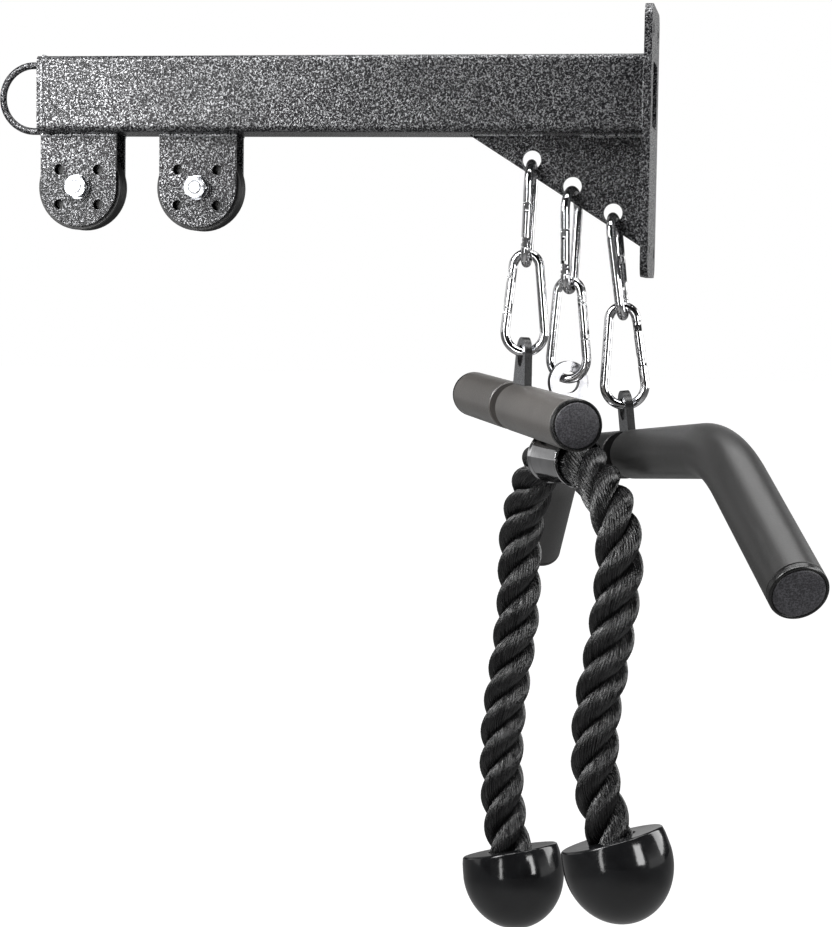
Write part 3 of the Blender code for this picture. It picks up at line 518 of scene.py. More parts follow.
def grown(tree: NodeTree, path: Sequence[Vector], values: dict[str, object]) -> Mesh:
    """Plain mesh that a geometry tree makes along a path.

    Args:
        tree: The tree.
        path: Points of the line that it follows.
        values: Value for each of its named inputs.

    Returns:
        The mesh, with real faces only.
    """
    line = bpy.data.meshes.new("line")
    edges = [(index, index + 1) for index in range(len(path) - 1)]
    line.from_pydata([tuple(point) for point in path], edges, [])
    holder = bpy.data.objects.new("line", line)
    modifier = holder.modifiers.new("tree", "NODES")
    modifier.node_group = tree
    for item in tree.interface.items_tree:
        if item.item_type == "SOCKET" and item.in_out == "INPUT" and item.name in values:
            modifier[item.identifier] = values[item.name]
    return baked(holder, tidy=False)


class ShaderGraph(NodeMaker):
    """Shader tree in the making."""

    def spot(self) -> NodeSocket:
        """Coordinates of the piece itself."""
        return self.add("ShaderNodeTexCoord").outputs["Object"]

    def blended(self, factor: NodeSocket, low: object, high: object) -> NodeSocket:
        """Colour between two colours, by a mask."""
        return self.add("ShaderNodeMix", {0: factor, 6: low, 7: high},
                        data_type="RGBA").outputs[2]

    def ranged(self, value: object, ends: Inputs) -> NodeSocket:
        """A value mapped from one range to another."""
        return self.add("ShaderNodeMapRange", {"Value": value, **ends}).outputs[0]

    def spread(self, factor: NodeSocket, low: float, high: float) -> NodeSocket:
        """A mask mapped on to a range of values."""
        return self.ranged(factor, {"To Min": low, "To Max": high})

    def clear_rays(self) -> tuple[NodeSocket, NodeSocket]:
        """Whether a ray is the camera's or comes through the piece, and whether it is mirrored."""
        path = self.add("ShaderNodeLightPath").outputs
        seen = self.maths("MAXIMUM", path["Is Camera Ray"], path["Is Transmission Ray"])
        return seen, path["Is Glossy Ray"]


class Pattern(Enum):
    """Patterns that several finishes share, each a node group."""

    SPECKLE = "speckle"
    PATCHES = "patches"
    GRAIN = "grain"


class Patterns:
    """Builds the shared pattern groups once and places them in materials."""

    @staticmethod
    def group(pattern: Pattern) -> NodeTree:
        """The node group of a pattern, made on first use.

        Args:
            pattern: Which pattern.

        Returns:
            Its node group.
        """
        name = f"{pattern.value}_pattern"
        if name in bpy.data.node_groups:
            return bpy.data.node_groups[name]
        labels, maker = {
            Pattern.SPECKLE: (("Scale", "Level", "Softness"), Patterns.speckle),
            Pattern.PATCHES: (("Scale", "Low", "High"), Patterns.patches),
            Pattern.GRAIN: (("Across", "Along", "Contrast"), Patterns.grain)}[pattern]
        graph = ShaderGraph(bpy.data.node_groups.new(name, "ShaderNodeTree"))
        sockets = [("Vector", "INPUT", "Vector"),
                   *[(label, "INPUT", "Float") for label in labels],
                   *[(label, "OUTPUT", "Float") for label in ("Mask", "Height")]]
        for label, way, kind in sockets:
            graph.tree.interface.new_socket(label, in_out=way, socket_type=f"NodeSocket{kind}")
        source = graph.add("NodeGroupInput").outputs
        sink = graph.add("NodeGroupOutput")
        height, ends = maker(graph, source)
        graph.put(sink, "Mask", graph.ranged(height, ends))
        graph.put(sink, "Height", height)
        return graph.tree

    @staticmethod
    def noise(graph: ShaderGraph, vector: NodeSocket, scale: object, detail: float,
              roughness: float, distortion: float = 0.0) -> NodeSocket:
        """Height of a noise texture."""
        return graph.add("ShaderNodeTexNoise", {
            "Vector": vector, "Scale": scale, "Detail": detail, "Roughness": roughness,
            "Distortion": distortion}).outputs[0]

    @staticmethod
    def speckle(graph: ShaderGraph, source: Sockets) -> tuple[NodeSocket, Inputs]:
        """Short wandering flecks, as in hammered paint or a moulded texture."""
        ends = {"From Min": graph.maths("SUBTRACT", source["Level"], source["Softness"]),
                "From Max": graph.maths("ADD", source["Level"], source["Softness"])}
        return Patterns.noise(graph, source["Vector"], source["Scale"], 1.0, 0.5, 0.8), ends

    @staticmethod
    def patches(graph: ShaderGraph, source: Sockets) -> tuple[NodeSocket, Inputs]:
        """Soft cloudy variation between two values."""
        ends = {"From Min": 0.3, "From Max": 0.7, "To Min": source["Low"],
                "To Max": source["High"]}
        return Patterns.noise(graph, source["Vector"], source["Scale"], 5.0, 0.55), ends

    @staticmethod
    def grain(graph: ShaderGraph, source: Sockets) -> tuple[NodeSocket, Inputs]:
        """Fine lines drawn out along the pattern's second axis."""
        stretch = graph.add("ShaderNodeCombineXYZ", {
            "X": source["Across"], "Y": source["Along"], "Z": source["Across"]})
        drawn = graph.add("ShaderNodeVectorMath", {0: source["Vector"], 1: stretch.outputs[0]},
                          operation="MULTIPLY")
        half = graph.maths("DIVIDE", source["Contrast"], 2.0)
        ends = {"From Min": graph.maths("SUBTRACT", 0.5, half),
                "From Max": graph.maths("ADD", 0.5, half)}
        return Patterns.noise(graph, drawn.outputs[0], 1.0, 3.0, 0.6), ends

    @staticmethod
    def place(graph: ShaderGraph, pattern: Pattern, vector: NodeSocket,
              **values: float) -> Sockets:
        """Put a pattern in a material.

        Args:
            graph: The material's graph.
            pattern: Which pattern.
            vector: Coordinates that it follows.
            **values: Value of each named input.

        Returns:
            The group's outputs, Mask and Height.
        """
        node = graph.add("ShaderNodeGroup", node_tree=Patterns.group(pattern))
        for label, value in {"Vector": vector, **values}.items():
            graph.put(node, label, value)
        return node.outputs


@dataclass(frozen=True)
class Finish:
    """A finish: its name and the record's slot that it belongs to."""

    name: str
    slot: Slot

    def material(self) -> Material:
        """The finish's material, made on first use."""
        label = f"{self.name}_finish"
        if label in bpy.data.materials:
            return bpy.data.materials[label]
        made = bpy.data.materials.new(label)
        made.use_nodes = True
        graph = ShaderGraph(made.node_tree)
        self.dress(graph, made.node_tree.nodes["Principled BSDF"])
        return made

    def dress(self, graph: ShaderGraph, shader: Node) -> None:
        """Wire the finish's nodes to its shader."""
        raise NotImplementedError

    @staticmethod
    def bump(graph: ShaderGraph, shader: Node, height: NodeSocket, depth: float) -> None:
        """Raise the surface by a height pattern, to a depth in metres."""
        node = graph.add("ShaderNodeBump", {"Height": height, "Distance": depth,
                                            "Strength": 1.0})
        graph.put(shader, "Normal", node.outputs["Normal"])


@dataclass(frozen=True)
class HammeredPaint(Finish):
    """Dark enamel whose hammered skin glints in short wandering flecks."""

    dark: Colour = (0.005, 0.005, 0.006)
    pale: Colour = (0.30, 0.302, 0.31)
    fleck_scale: float = 760.0
    level: float = 0.56
    softness: float = 0.05
    roughness: float = 0.20
    bump_depth: float = 0.00045

    def dress(self, graph: ShaderGraph, shader: Node) -> None:
        """Flecks in colour, gloss and height, over slow patches."""
        place = graph.spot()
        fleck = Patterns.place(graph, Pattern.SPECKLE, place, Scale=self.fleck_scale,
                               Level=self.level, Softness=self.softness)
        cloud = Patterns.place(graph, Pattern.PATCHES, place, Scale=24.0, Low=0.55, High=1.0)
        mask = graph.maths("MULTIPLY", fleck["Mask"], cloud["Mask"])
        graph.put(shader, "Base Color", graph.blended(mask, self.dark, self.pale))
        graph.put(shader, "Roughness",
                  graph.spread(fleck["Mask"], self.roughness, self.roughness + 0.08))
        graph.put(shader, "Metallic", graph.spread(mask, 0.0, 0.9))
        shader.inputs["Specular IOR Level"].default_value = 0.22
        self.bump(graph, shader, fleck["Height"], self.bump_depth)


@dataclass(frozen=True)
class BrightMetal(Finish):
    """Polished or plated metal with fine rubbing marks and a painted dark reflection at its rim."""

    colour: Colour = (0.80, 0.80, 0.81)
    dull_colour: Colour = (0.62, 0.62, 0.63)
    roughness: float = 0.07
    dull_roughness: float = 0.16
    mark_scale: float = 900.0
    bump_depth: float = 0.00001
    # Painted dark reflection at the rim: how strong it is, how fast it falls off, and its colour.
    painted_rim_shade: float = 0.9
    rim_falloff: float = 2.5
    painted_rim_colour: Colour = (0.03, 0.03, 0.032)

    def dress(self, graph: ShaderGraph, shader: Node) -> None:
        """Patches in colour and gloss with fine marks, and a painted dark reflection towards the
        rim.
        """
        place = graph.spot()
        cloud = Patterns.place(graph, Pattern.PATCHES, place, Scale=90.0, Low=0.0, High=1.0)
        marks = Patterns.place(graph, Pattern.SPECKLE, place, Scale=self.mark_scale, Level=0.62,
                               Softness=0.06)
        # Painted reflection: the colour darkens where the surface turns away from the view,
        # standing in for the dark that the rim reflects.
        facing = graph.add("ShaderNodeLayerWeight")
        facing.inputs["Blend"].default_value = 0.5
        falloff = graph.maths("POWER", facing.outputs["Facing"], self.rim_falloff)
        rim = graph.maths("MULTIPLY", falloff, self.painted_rim_shade)
        plain = graph.blended(cloud["Mask"], self.colour, self.dull_colour)
        graph.put(shader, "Base Color", graph.blended(rim, plain, self.painted_rim_colour))
        worn = graph.maths("MAXIMUM", graph.maths("MULTIPLY", cloud["Mask"], 0.6),
                           marks["Mask"])
        graph.put(shader, "Roughness", graph.spread(worn, self.roughness, self.dull_roughness))
        shader.inputs["Metallic"].default_value = 1.0
        self.bump(graph, shader, marks["Height"], self.bump_depth)


@dataclass(frozen=True)
class SatinBlack(Finish):
    """Black paint or moulded plastic with a fine texture."""

    dark: Colour = (0.003, 0.003, 0.0032)
    pale: Colour = (0.009, 0.009, 0.0095)
    roughness: float = 0.30
    texture_scale: float = 1500.0
    bump_depth: float = 0.00005

    def dress(self, graph: ShaderGraph, shader: Node) -> None:
        """Fine texture over slow patches."""
        place = graph.spot()
        texture = Patterns.place(graph, Pattern.SPECKLE, place, Scale=self.texture_scale,
                                 Level=0.5, Softness=0.2)
        cloud = Patterns.place(graph, Pattern.PATCHES, place, Scale=60.0, Low=0.0, High=1.0)
        graph.put(shader, "Base Color", graph.blended(cloud["Mask"], self.dark, self.pale))
        graph.put(shader, "Roughness",
                  graph.spread(texture["Mask"], self.roughness, self.roughness + 0.12))
        self.bump(graph, shader, texture["Height"], self.bump_depth)


@dataclass(frozen=True)
class MouldedDisc(Finish):
    """Grey plastic with a stippled face."""

    dark: Colour = (0.018, 0.0175, 0.021)
    pale: Colour = (0.092, 0.090, 0.100)
    stipple_scale: float = 900.0

    def dress(self, graph: ShaderGraph, shader: Node) -> None:
        """Stipple in colour, gloss and height."""
        place = graph.spot()
        stipple = Patterns.place(graph, Pattern.SPECKLE, place, Scale=self.stipple_scale,
                                 Level=0.52, Softness=0.10)
        cloud = Patterns.place(graph, Pattern.PATCHES, place, Scale=70.0, Low=0.6, High=1.0)
        mask = graph.maths("MULTIPLY", stipple["Mask"], cloud["Mask"])
        graph.put(shader, "Base Color", graph.blended(mask, self.dark, self.pale))
        graph.put(shader, "Roughness", graph.spread(stipple["Mask"], 0.45, 0.6))
        self.bump(graph, shader, stipple["Height"], 0.00018)


@dataclass(frozen=True)
class FoamGrip(Finish):
    """Satin foam sleeve with a fine ground grain round it."""

    dark: Colour = (0.0045, 0.0044, 0.0042)
    pale: Colour = (0.0125, 0.0121, 0.0117)
    gloss_level: float = 0.55

    def dress(self, graph: ShaderGraph, shader: Node) -> None:
        """Grain lines round the sleeve and cells in its skin."""
        sweep = graph.add("ShaderNodeUVMap", uv_map=SWEEP_MAP).outputs["UV"]
        place = graph.spot()
        turned_map = graph.add("ShaderNodeMapping", {"Vector": sweep,
                                                     "Rotation": (0.0, 0.0, pi / 2)})
        lines = Patterns.place(graph, Pattern.GRAIN, turned_map.outputs[0], Across=1600.0,
                               Along=60.0, Contrast=0.5)
        cells = Patterns.place(graph, Pattern.SPECKLE, place, Scale=1400.0, Level=0.5,
                               Softness=0.15)
        cloud = Patterns.place(graph, Pattern.PATCHES, place, Scale=24.0, Low=0.0, High=1.0)
        tone = graph.maths("ADD", graph.maths("MULTIPLY", lines["Mask"], 0.6),
                           graph.maths("MULTIPLY", cloud["Mask"], 0.4))
        graph.put(shader, "Base Color", graph.blended(tone, self.dark, self.pale))
        graph.put(shader, "Roughness", graph.spread(cells["Mask"], 0.32, 0.44))
        shader.inputs["Specular IOR Level"].default_value = self.gloss_level
        shader.inputs["Sheen Weight"].default_value = 0.06
        shader.inputs["Sheen Roughness"].default_value = 0.4
        height = graph.maths("ADD", lines["Height"],
                             graph.maths("MULTIPLY", cells["Height"], 0.5))
        self.bump(graph, shader, height, 0.00007)


@dataclass(frozen=True)
class LaidFibre(Finish):
    """Glossy black fibres that follow the yarns of a laid rope."""

    dark: Colour = (0.0004, 0.0004, 0.0005)
    pale: Colour = (0.013, 0.013, 0.014)

    def dress(self, graph: ShaderGraph, shader: Node) -> None:
        """Fibres drawn out along each strand."""
        turn = graph.add("ShaderNodeAttribute", attribute_name=ROUND).outputs["Vector"]
        along = graph.add("ShaderNodeAttribute", attribute_name=ALONG).outputs["Fac"]
        split = graph.add("ShaderNodeSeparateXYZ", {0: turn})
        joined = graph.add("ShaderNodeCombineXYZ", {"X": split.outputs["X"], "Y": along,
                                                    "Z": split.outputs["Y"]})
        fibres = Patterns.place(graph, Pattern.GRAIN, joined.outputs[0], Across=11.0, Along=60.0,
                                Contrast=0.34)
        tufts = Patterns.place(graph, Pattern.GRAIN, joined.outputs[0], Across=7.0, Along=45.0,
                               Contrast=0.5)
        tone = graph.maths("MULTIPLY", fibres["Mask"],
                           graph.spread(tufts["Mask"], 0.35, 1.0))
        graph.put(shader, "Base Color", graph.blended(tone, self.dark, self.pale))
        graph.put(shader, "Roughness", graph.spread(fibres["Mask"], 0.30, 0.14))
        shader.inputs["Specular IOR Level"].default_value = 0.9
        self.bump(graph, shader, fibres["Height"], 0.0014)


@dataclass(frozen=True)
class MouldedRubber(Finish):
    """Glossy black rubber with faint mould marks."""

    dark: Colour = (0.0055, 0.0055, 0.006)
    pale: Colour = (0.012, 0.0125, 0.0135)

    def dress(self, graph: ShaderGraph, shader: Node) -> None:
        """Smooth gloss broken by faint clouds."""
        place = graph.spot()
        cloud = Patterns.place(graph, Pattern.PATCHES, place, Scale=45.0, Low=0.0, High=1.0)
        dust = Patterns.place(graph, Pattern.SPECKLE, place, Scale=700.0, Level=0.66,
                              Softness=0.05)
        graph.put(shader, "Base Color", graph.blended(cloud["Mask"], self.dark, self.pale))
        worn = graph.maths("ADD", graph.maths("MULTIPLY", cloud["Mask"], 0.4),
                           graph.maths("MULTIPLY", dust["Mask"], 0.6))
        graph.put(shader, "Roughness", graph.spread(worn, 0.10, 0.22))
        self.bump(graph, shader, cloud["Height"], 0.0002)


PAINT = HammeredPaint("hammered", Slot.HAMMERED_PAINT)
WIRE = BrightMetal("wire", Slot.WIRE)
CHROME = BrightMetal("plated", Slot.CHROME, roughness=0.04, dull_roughness=0.10)
# Painted shade: the eye gets a darker, rougher copy of the chrome, holding down the lamps' glare in
# it.
SHADED_EYE_CHROME = BrightMetal("eye_shaded_chrome", Slot.CHROME, colour=(0.34, 0.34, 0.35),
                        dull_colour=(0.20, 0.20, 0.21), roughness=0.30, dull_roughness=0.40)
# Painted highlight: the weld beads wear the hammered paint with paler, denser flecks for the light
# that their crowns catch.
LIT_WELD_PAINT = HammeredPaint("weld_bead_lit", Slot.HAMMERED_PAINT, pale=(0.62, 0.625, 0.64), level=0.46)
ZINC = BrightMetal("zinc", Slot.ZINC, colour=(0.50, 0.51, 0.53), dull_colour=(0.34, 0.35, 0.37),
                   roughness=0.20, dull_roughness=0.36, bump_depth=0.00006)
BLACK_PAINT = SatinBlack("tube_paint", Slot.BLACK_PAINT, roughness=0.26)
NYLON = SatinBlack("nylon", Slot.NYLON, roughness=0.38)
PLUG_RIM = SatinBlack("plug_rim", Slot.PLUG, dark=(0.0015, 0.0015, 0.0016),
                      pale=(0.004, 0.004, 0.0042), roughness=0.22)
PLUG_FACE = MouldedDisc("plug_face", Slot.PLUG)
# One foam in two copies: darker for the long bar, paler and warmer for the straight bar, whose
# paleness is painted light for the light the straight grip catches.
FOAM = FoamGrip("foam_grip", Slot.FOAM)
LIT_FOAM = FoamGrip("lit_foam_grip", Slot.FOAM, dark=(0.040, 0.0366, 0.0342),
                     pale=(0.108, 0.0990, 0.0915), gloss_level=0.8)
FIBRE = LaidFibre("fibre", Slot.ROPE)
RUBBER = MouldedRubber("ball_rubber", Slot.RUBBER)


def finished(name: str, mesh: Mesh, finishes: Sequence[Finish], body: str | None,
             nodes: Sequence[str] = (), place: Matrix | None = None,
             even: bool = True) -> Object:
    """Make a mesh into a piece on its body.

    Args:
        name: The piece's name.
        mesh: Its mesh.
        finishes: Its finishes, in the order of the mesh's material numbers.
        body: The body that it rides on, or None for a piece on no body.
        nodes: The nodes that it stands for.
        place: Where its mesh goes in the row's frame.
        even: Whether the shading of flat faces is kept even.

    Returns:
        The piece, at the origin with its place in its mesh.
    """
    if place is not None:
        mesh.transform(place)
    if mesh.materials:  # clearing an empty list would reset the faces' material numbers
        mesh.materials.clear()
    for finish in finishes:
        mesh.materials.append(finish.material())
    mesh.shade_smooth()
    mesh.set_sharp_from_angle(angle=radians(SMOOTH_ANGLE))
    piece = bpy.data.objects.new(name, mesh)
    bpy.context.scene.collection.objects.link(piece)
    if even:
        modifier = piece.modifiers.new("even_shading", "WEIGHTED_NORMAL")
        modifier.keep_sharp = True
    if body is not None:
        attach(piece, body)
    if nodes:
        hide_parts(*nodes)
    LOG.info("piece %s on %s", name, body)
    return piece


def joint_place(name: str) -> Vector:
    """Where a joint of the frame turns."""
    found = next(joint for joint in frame["joints"] if joint["name"] == name)
    return Vector(found["pos_m"])


# Welds

@dataclass(frozen=True)
class Bead:
    """Half width of a weld, and the distance from ripple to ripple."""

    width: float
    spacing: float


class WeldMaker:
    """Rows of overlapping weld ripples along a seam."""

    thinnest = 0.86
    thickest = 1.14
    overlap = 1.25

    def __init__(self) -> None:
        """Build the tree that lays the ripples."""
        maker = TreeMaker("weld_ripples", {"Spacing": "Float", "Width": "Float", "Seed": "Int",
                                           "Finish": "Material"})
        curve = maker.add("GeometryNodeMeshToCurve", {"Mesh": maker.entry("Geometry")})
        points = maker.add("GeometryNodeResampleCurve", {
            "Curve": curve.outputs[0], "Length": maker.entry("Spacing")}, mode="LENGTH")
        drop = maker.add("GeometryNodeMeshIcoSphere", {"Radius": 1.0, "Subdivisions": 2})
        tangent = maker.add("GeometryNodeInputTangent")
        aligned = maker.add("FunctionNodeAlignRotationToVector",
                            {"Vector": tangent.outputs[0]}, axis="X")
        wobble = maker.add("FunctionNodeRandomValue", {
            2: self.thinnest, 3: self.thickest, "Seed": maker.entry("Seed")}, data_type="FLOAT")
        width = maker.maths("MULTIPLY", maker.entry("Width"), wobble.outputs[1])
        length = maker.maths("MULTIPLY", maker.entry("Spacing"), self.overlap)
        size = maker.add("ShaderNodeCombineXYZ", {"X": length, "Y": width, "Z": width})
        drops = maker.add("GeometryNodeInstanceOnPoints",
                          {"Points": points.outputs[0], "Instance": drop.outputs[0],
                           "Rotation": aligned.outputs[0], "Scale": size.outputs[0]})
        real = maker.add("GeometryNodeRealizeInstances", {0: drops.outputs[0]})
        dressed = maker.add("GeometryNodeSetMaterial", {
            "Geometry": real.outputs[0], "Material": maker.entry("Finish")})
        self.tree = maker.close(dressed.outputs[0])

    def row(self, path: Sequence[Vector], bead: Bead, seed: int, finish: Finish) -> Mesh:
        """One weld.

        Args:
            path: Points of its seam.
            bead: Its size.
            seed: Seed of its ripples' small differences.
            finish: Its finish.

        Returns:
            Its mesh.
        """
        return grown(self.tree, path, {"Spacing": bead.spacing, "Width": bead.width,
                                       "Seed": seed, "Finish": finish.material()})


# The welded arm

@dataclass
class WallArm:
    """Wall plate, square beam, end cap, half ring and gusset."""

    body: str = "arm_frame"
    plate_width: float = 0.090
    plate_height: float = 0.207
    plate_thickness: float = 0.006
    plate_corner: float = 0.012
    hole_diameter: float = 0.0105
    hole_edge: float = 0.0185
    window_side: float = 0.050
    window_radius: float = 0.006
    beam_side: float = 0.060
    beam_wall: float = 0.003
    beam_corner: float = 0.005
    beam_length: float = 0.479
    beam_rise: float = 0.03666
    cap_thickness: float = 0.004
    ring_width: float = 0.0585
    ring_bar: float = 0.0056
    ring_stub: float = 0.0116
    ring_drop: float = 0.0013
    gusset_thickness: float = 0.005
    gusset_length: float = 0.138
    gusset_depth: float = 0.0877
    hook_hole: float = 0.0148
    hole_start: float = 0.0523
    hole_pitch: float = 0.0381
    hole_inset: float = 0.0102
    wall_bead: Bead = Bead(0.0021, 0.0016)
    cap_bead: Bead = Bead(0.0013, 0.0013)
    thin_bead: Bead = Bead(0.0011, 0.0013)
    thick_bead: Bead = Bead(0.0024, 0.0017)
    foot_bead: Bead = Bead(0.0012, 0.0012)
    thin_run: Flat = (0.004, 0.056)
    thick_run: Flat = (0.090, 0.1358)
    wall_run: Flat = (0.004, 0.006)
    wall_rise: float = 0.0008
    cap_rise: float = -0.0002
    foot_rise: float = 0.0004
    gusset_seed: int = 11
    ring_seed: int = 14
    seat: float = 0.0003
    edge: float = 0.0007
    facets: int = 48

    @property
    def beam_start(self) -> float:
        """Wall end of the beam."""
        return -self.plate_thickness - self.seat

    @property
    def beam_end(self) -> float:
        """Free end of the beam."""
        return self.beam_start - self.beam_length

    @property
    def cap_outside(self) -> float:
        """Outer face of the end cap."""
        return self.beam_end - self.seat - self.cap_thickness

    @property
    def underside(self) -> float:
        """Height of the beam's lower face."""
        return self.beam_rise - self.beam_side / 2

    def hook_place(self, index: int) -> Flat:
        """Centre of a gusset hole, counted from the beam's free end."""
        slope = sqrt(self.gusset_length ** 2 + self.gusset_depth ** 2)
        along = Vector((self.gusset_length, -self.gusset_depth)) / slope
        inward = Vector((self.gusset_depth, self.gusset_length)) / slope
        tip = Vector((self.beam_start - self.gusset_length, self.underside))
        spot = tip + along * (self.hole_start + index * self.hole_pitch) + inward * self.hole_inset
        return spot.x, spot.y

    def make(self, welds: WeldMaker) -> None:
        """Build every piece of the arm."""
        self.make_wall_plate()
        self.make_beam()
        self.make_gusset()
        self.make_welds(welds)

    def make_wall_plate(self) -> None:
        """Plate with four fixing holes and the window behind the beam."""
        across = self.plate_width / 2 - self.hole_edge
        up = self.plate_height / 2 - self.hole_edge
        holes = [circle(self.hole_diameter / 2, self.facets, (side * across, level * up))
                 for side in (-1, 1) for level in (-1, 1)]
        window = rounded_rectangle(self.window_side, self.window_side, self.window_radius)
        holes.append([(x, y + self.beam_rise) for x, y in window])
        outline = rounded_rectangle(self.plate_width, self.plate_height, self.plate_corner, 12)
        mesh = softened(plate(outline, self.plate_thickness, holes), self.edge)
        place = at(x=-self.plate_thickness / 2) @ UPRIGHT_ACROSS_BEAM
        finished("dressed_wall_plate", mesh, [PAINT], self.body, ["wall_plate"], place)

    def make_beam(self) -> None:
        """Tube, cap and half ring."""
        outer = rounded_rectangle(self.beam_side, self.beam_side, self.beam_corner)
        bore_side = self.beam_side - 2 * self.beam_wall
        bore = rounded_rectangle(bore_side, bore_side, self.beam_corner - self.beam_wall)
        tube = plate(outer, self.beam_length, [bore])
        place = at((self.beam_start + self.beam_end) / 2, 0.0, self.beam_rise) @ UPRIGHT_ACROSS_BEAM
        finished("dressed_beam", tube, [PAINT], self.body, ["beam_tube"], place)
        cap = softened(plate(outer, self.cap_thickness), self.edge)
        place = at(self.cap_outside + self.cap_thickness / 2, 0.0, self.beam_rise)
        finished("dressed_cap", cap, [PAINT], self.body, ["end_cap_plate"],
                 place @ UPRIGHT_ACROSS_BEAM)
        radius = (self.ring_width - self.ring_bar) / 2
        bend = arc((-self.ring_stub, 0.0), radius, 90, 270, 40)
        route = [(0.0, radius), *bend, (0.0, -radius)]
        path = [Vector((x, 0.0, z)) for x, z in route]
        bar = solid_bar(path, self.ring_bar / 2, 24, self.ring_bar / 12)
        finished("dressed_end_ring", bar, [PAINT], self.body, ["end_ring"],
                 at(self.cap_outside - self.seat, 0.0, self.beam_rise - self.ring_drop))

    def make_gusset(self) -> None:
        """Triangle with its three hook holes."""
        top = self.underside - self.seat
        outline = ((self.beam_start - self.gusset_length, top),
                   (self.beam_start, self.underside - self.gusset_depth), (self.beam_start, top))
        holes = [circle(self.hook_hole / 2, self.facets, self.hook_place(index))
                 for index in range(3)]
        mesh = softened(plate(outline, self.gusset_thickness, holes), self.edge)
        finished("dressed_gusset", mesh, [PAINT], self.body, ["gusset_plate"],
                 UPRIGHT_ALONG_BEAM)

    def make_welds(self, welds: WeldMaker) -> None:
        """Beads round the beam's ends, along the gusset and at the ring's feet."""
        half = self.beam_side / 2
        low, high = self.underside, self.underside + self.beam_side
        corner = self.beam_corner
        square = [(-half, low + corner), (-half, high - corner), (corner - half, high),
                  (half - corner, high), (half, high - corner), (half, low + corner),
                  (half - corner, low), (corner - half, low), (-half, low + corner)]
        seams = {"wall": (self.beam_start + self.wall_rise, self.wall_bead),
                 "cap": (self.beam_end + self.cap_rise, self.cap_bead)}
        for number, (label, (x, bead)) in enumerate(seams.items()):
            path = [Vector((x, y, z)) for y, z in square]
            finished(f"weld_{label}", welds.row(path, bead, number + 1, LIT_WELD_PAINT), [LIT_WELD_PAINT], self.body,
                     even=False)
        tip = self.beam_start - self.gusset_length
        wall = self.beam_start
        top, foot = low - self.wall_run[0], self.underside - self.gusset_depth + self.wall_run[1]
        runs = (((tip + self.thin_run[0], low), (tip + self.thin_run[1], low), self.thin_bead),
                ((tip + self.thick_run[0], low), (tip + self.thick_run[1], low), self.thick_bead),
                ((wall, top), (wall, foot), self.wall_bead))
        rows = []
        for y in (-self.gusset_thickness / 2, self.gusset_thickness / 2):
            for number, (start, end, bead) in enumerate(runs):
                path = [Vector((x, y, z)) for x, z in (start, end)]
                rows.append(welds.row(path, bead, self.gusset_seed + number, LIT_WELD_PAINT))
        finished("weld_gusset", gathered(rows), [LIT_WELD_PAINT], self.body, even=False)
        feet = []
        radius = (self.ring_width - self.ring_bar) / 2
        for level in (-1, 1):
            height = self.beam_rise - self.ring_drop + level * radius
            centre = Vector((self.cap_outside + self.foot_rise, 0.0, height))
            seam = [centre + Vector((0.0, y, z)) * (self.ring_bar / 2)
                    for y, z in circle(1.0, 13)]
            feet.append(welds.row([*seam, seam[0]], self.foot_bead, self.ring_seed + level,
                                  PAINT))
        finished("weld_ring", gathered(feet), [PAINT], self.body, even=False)


# Pulley blocks

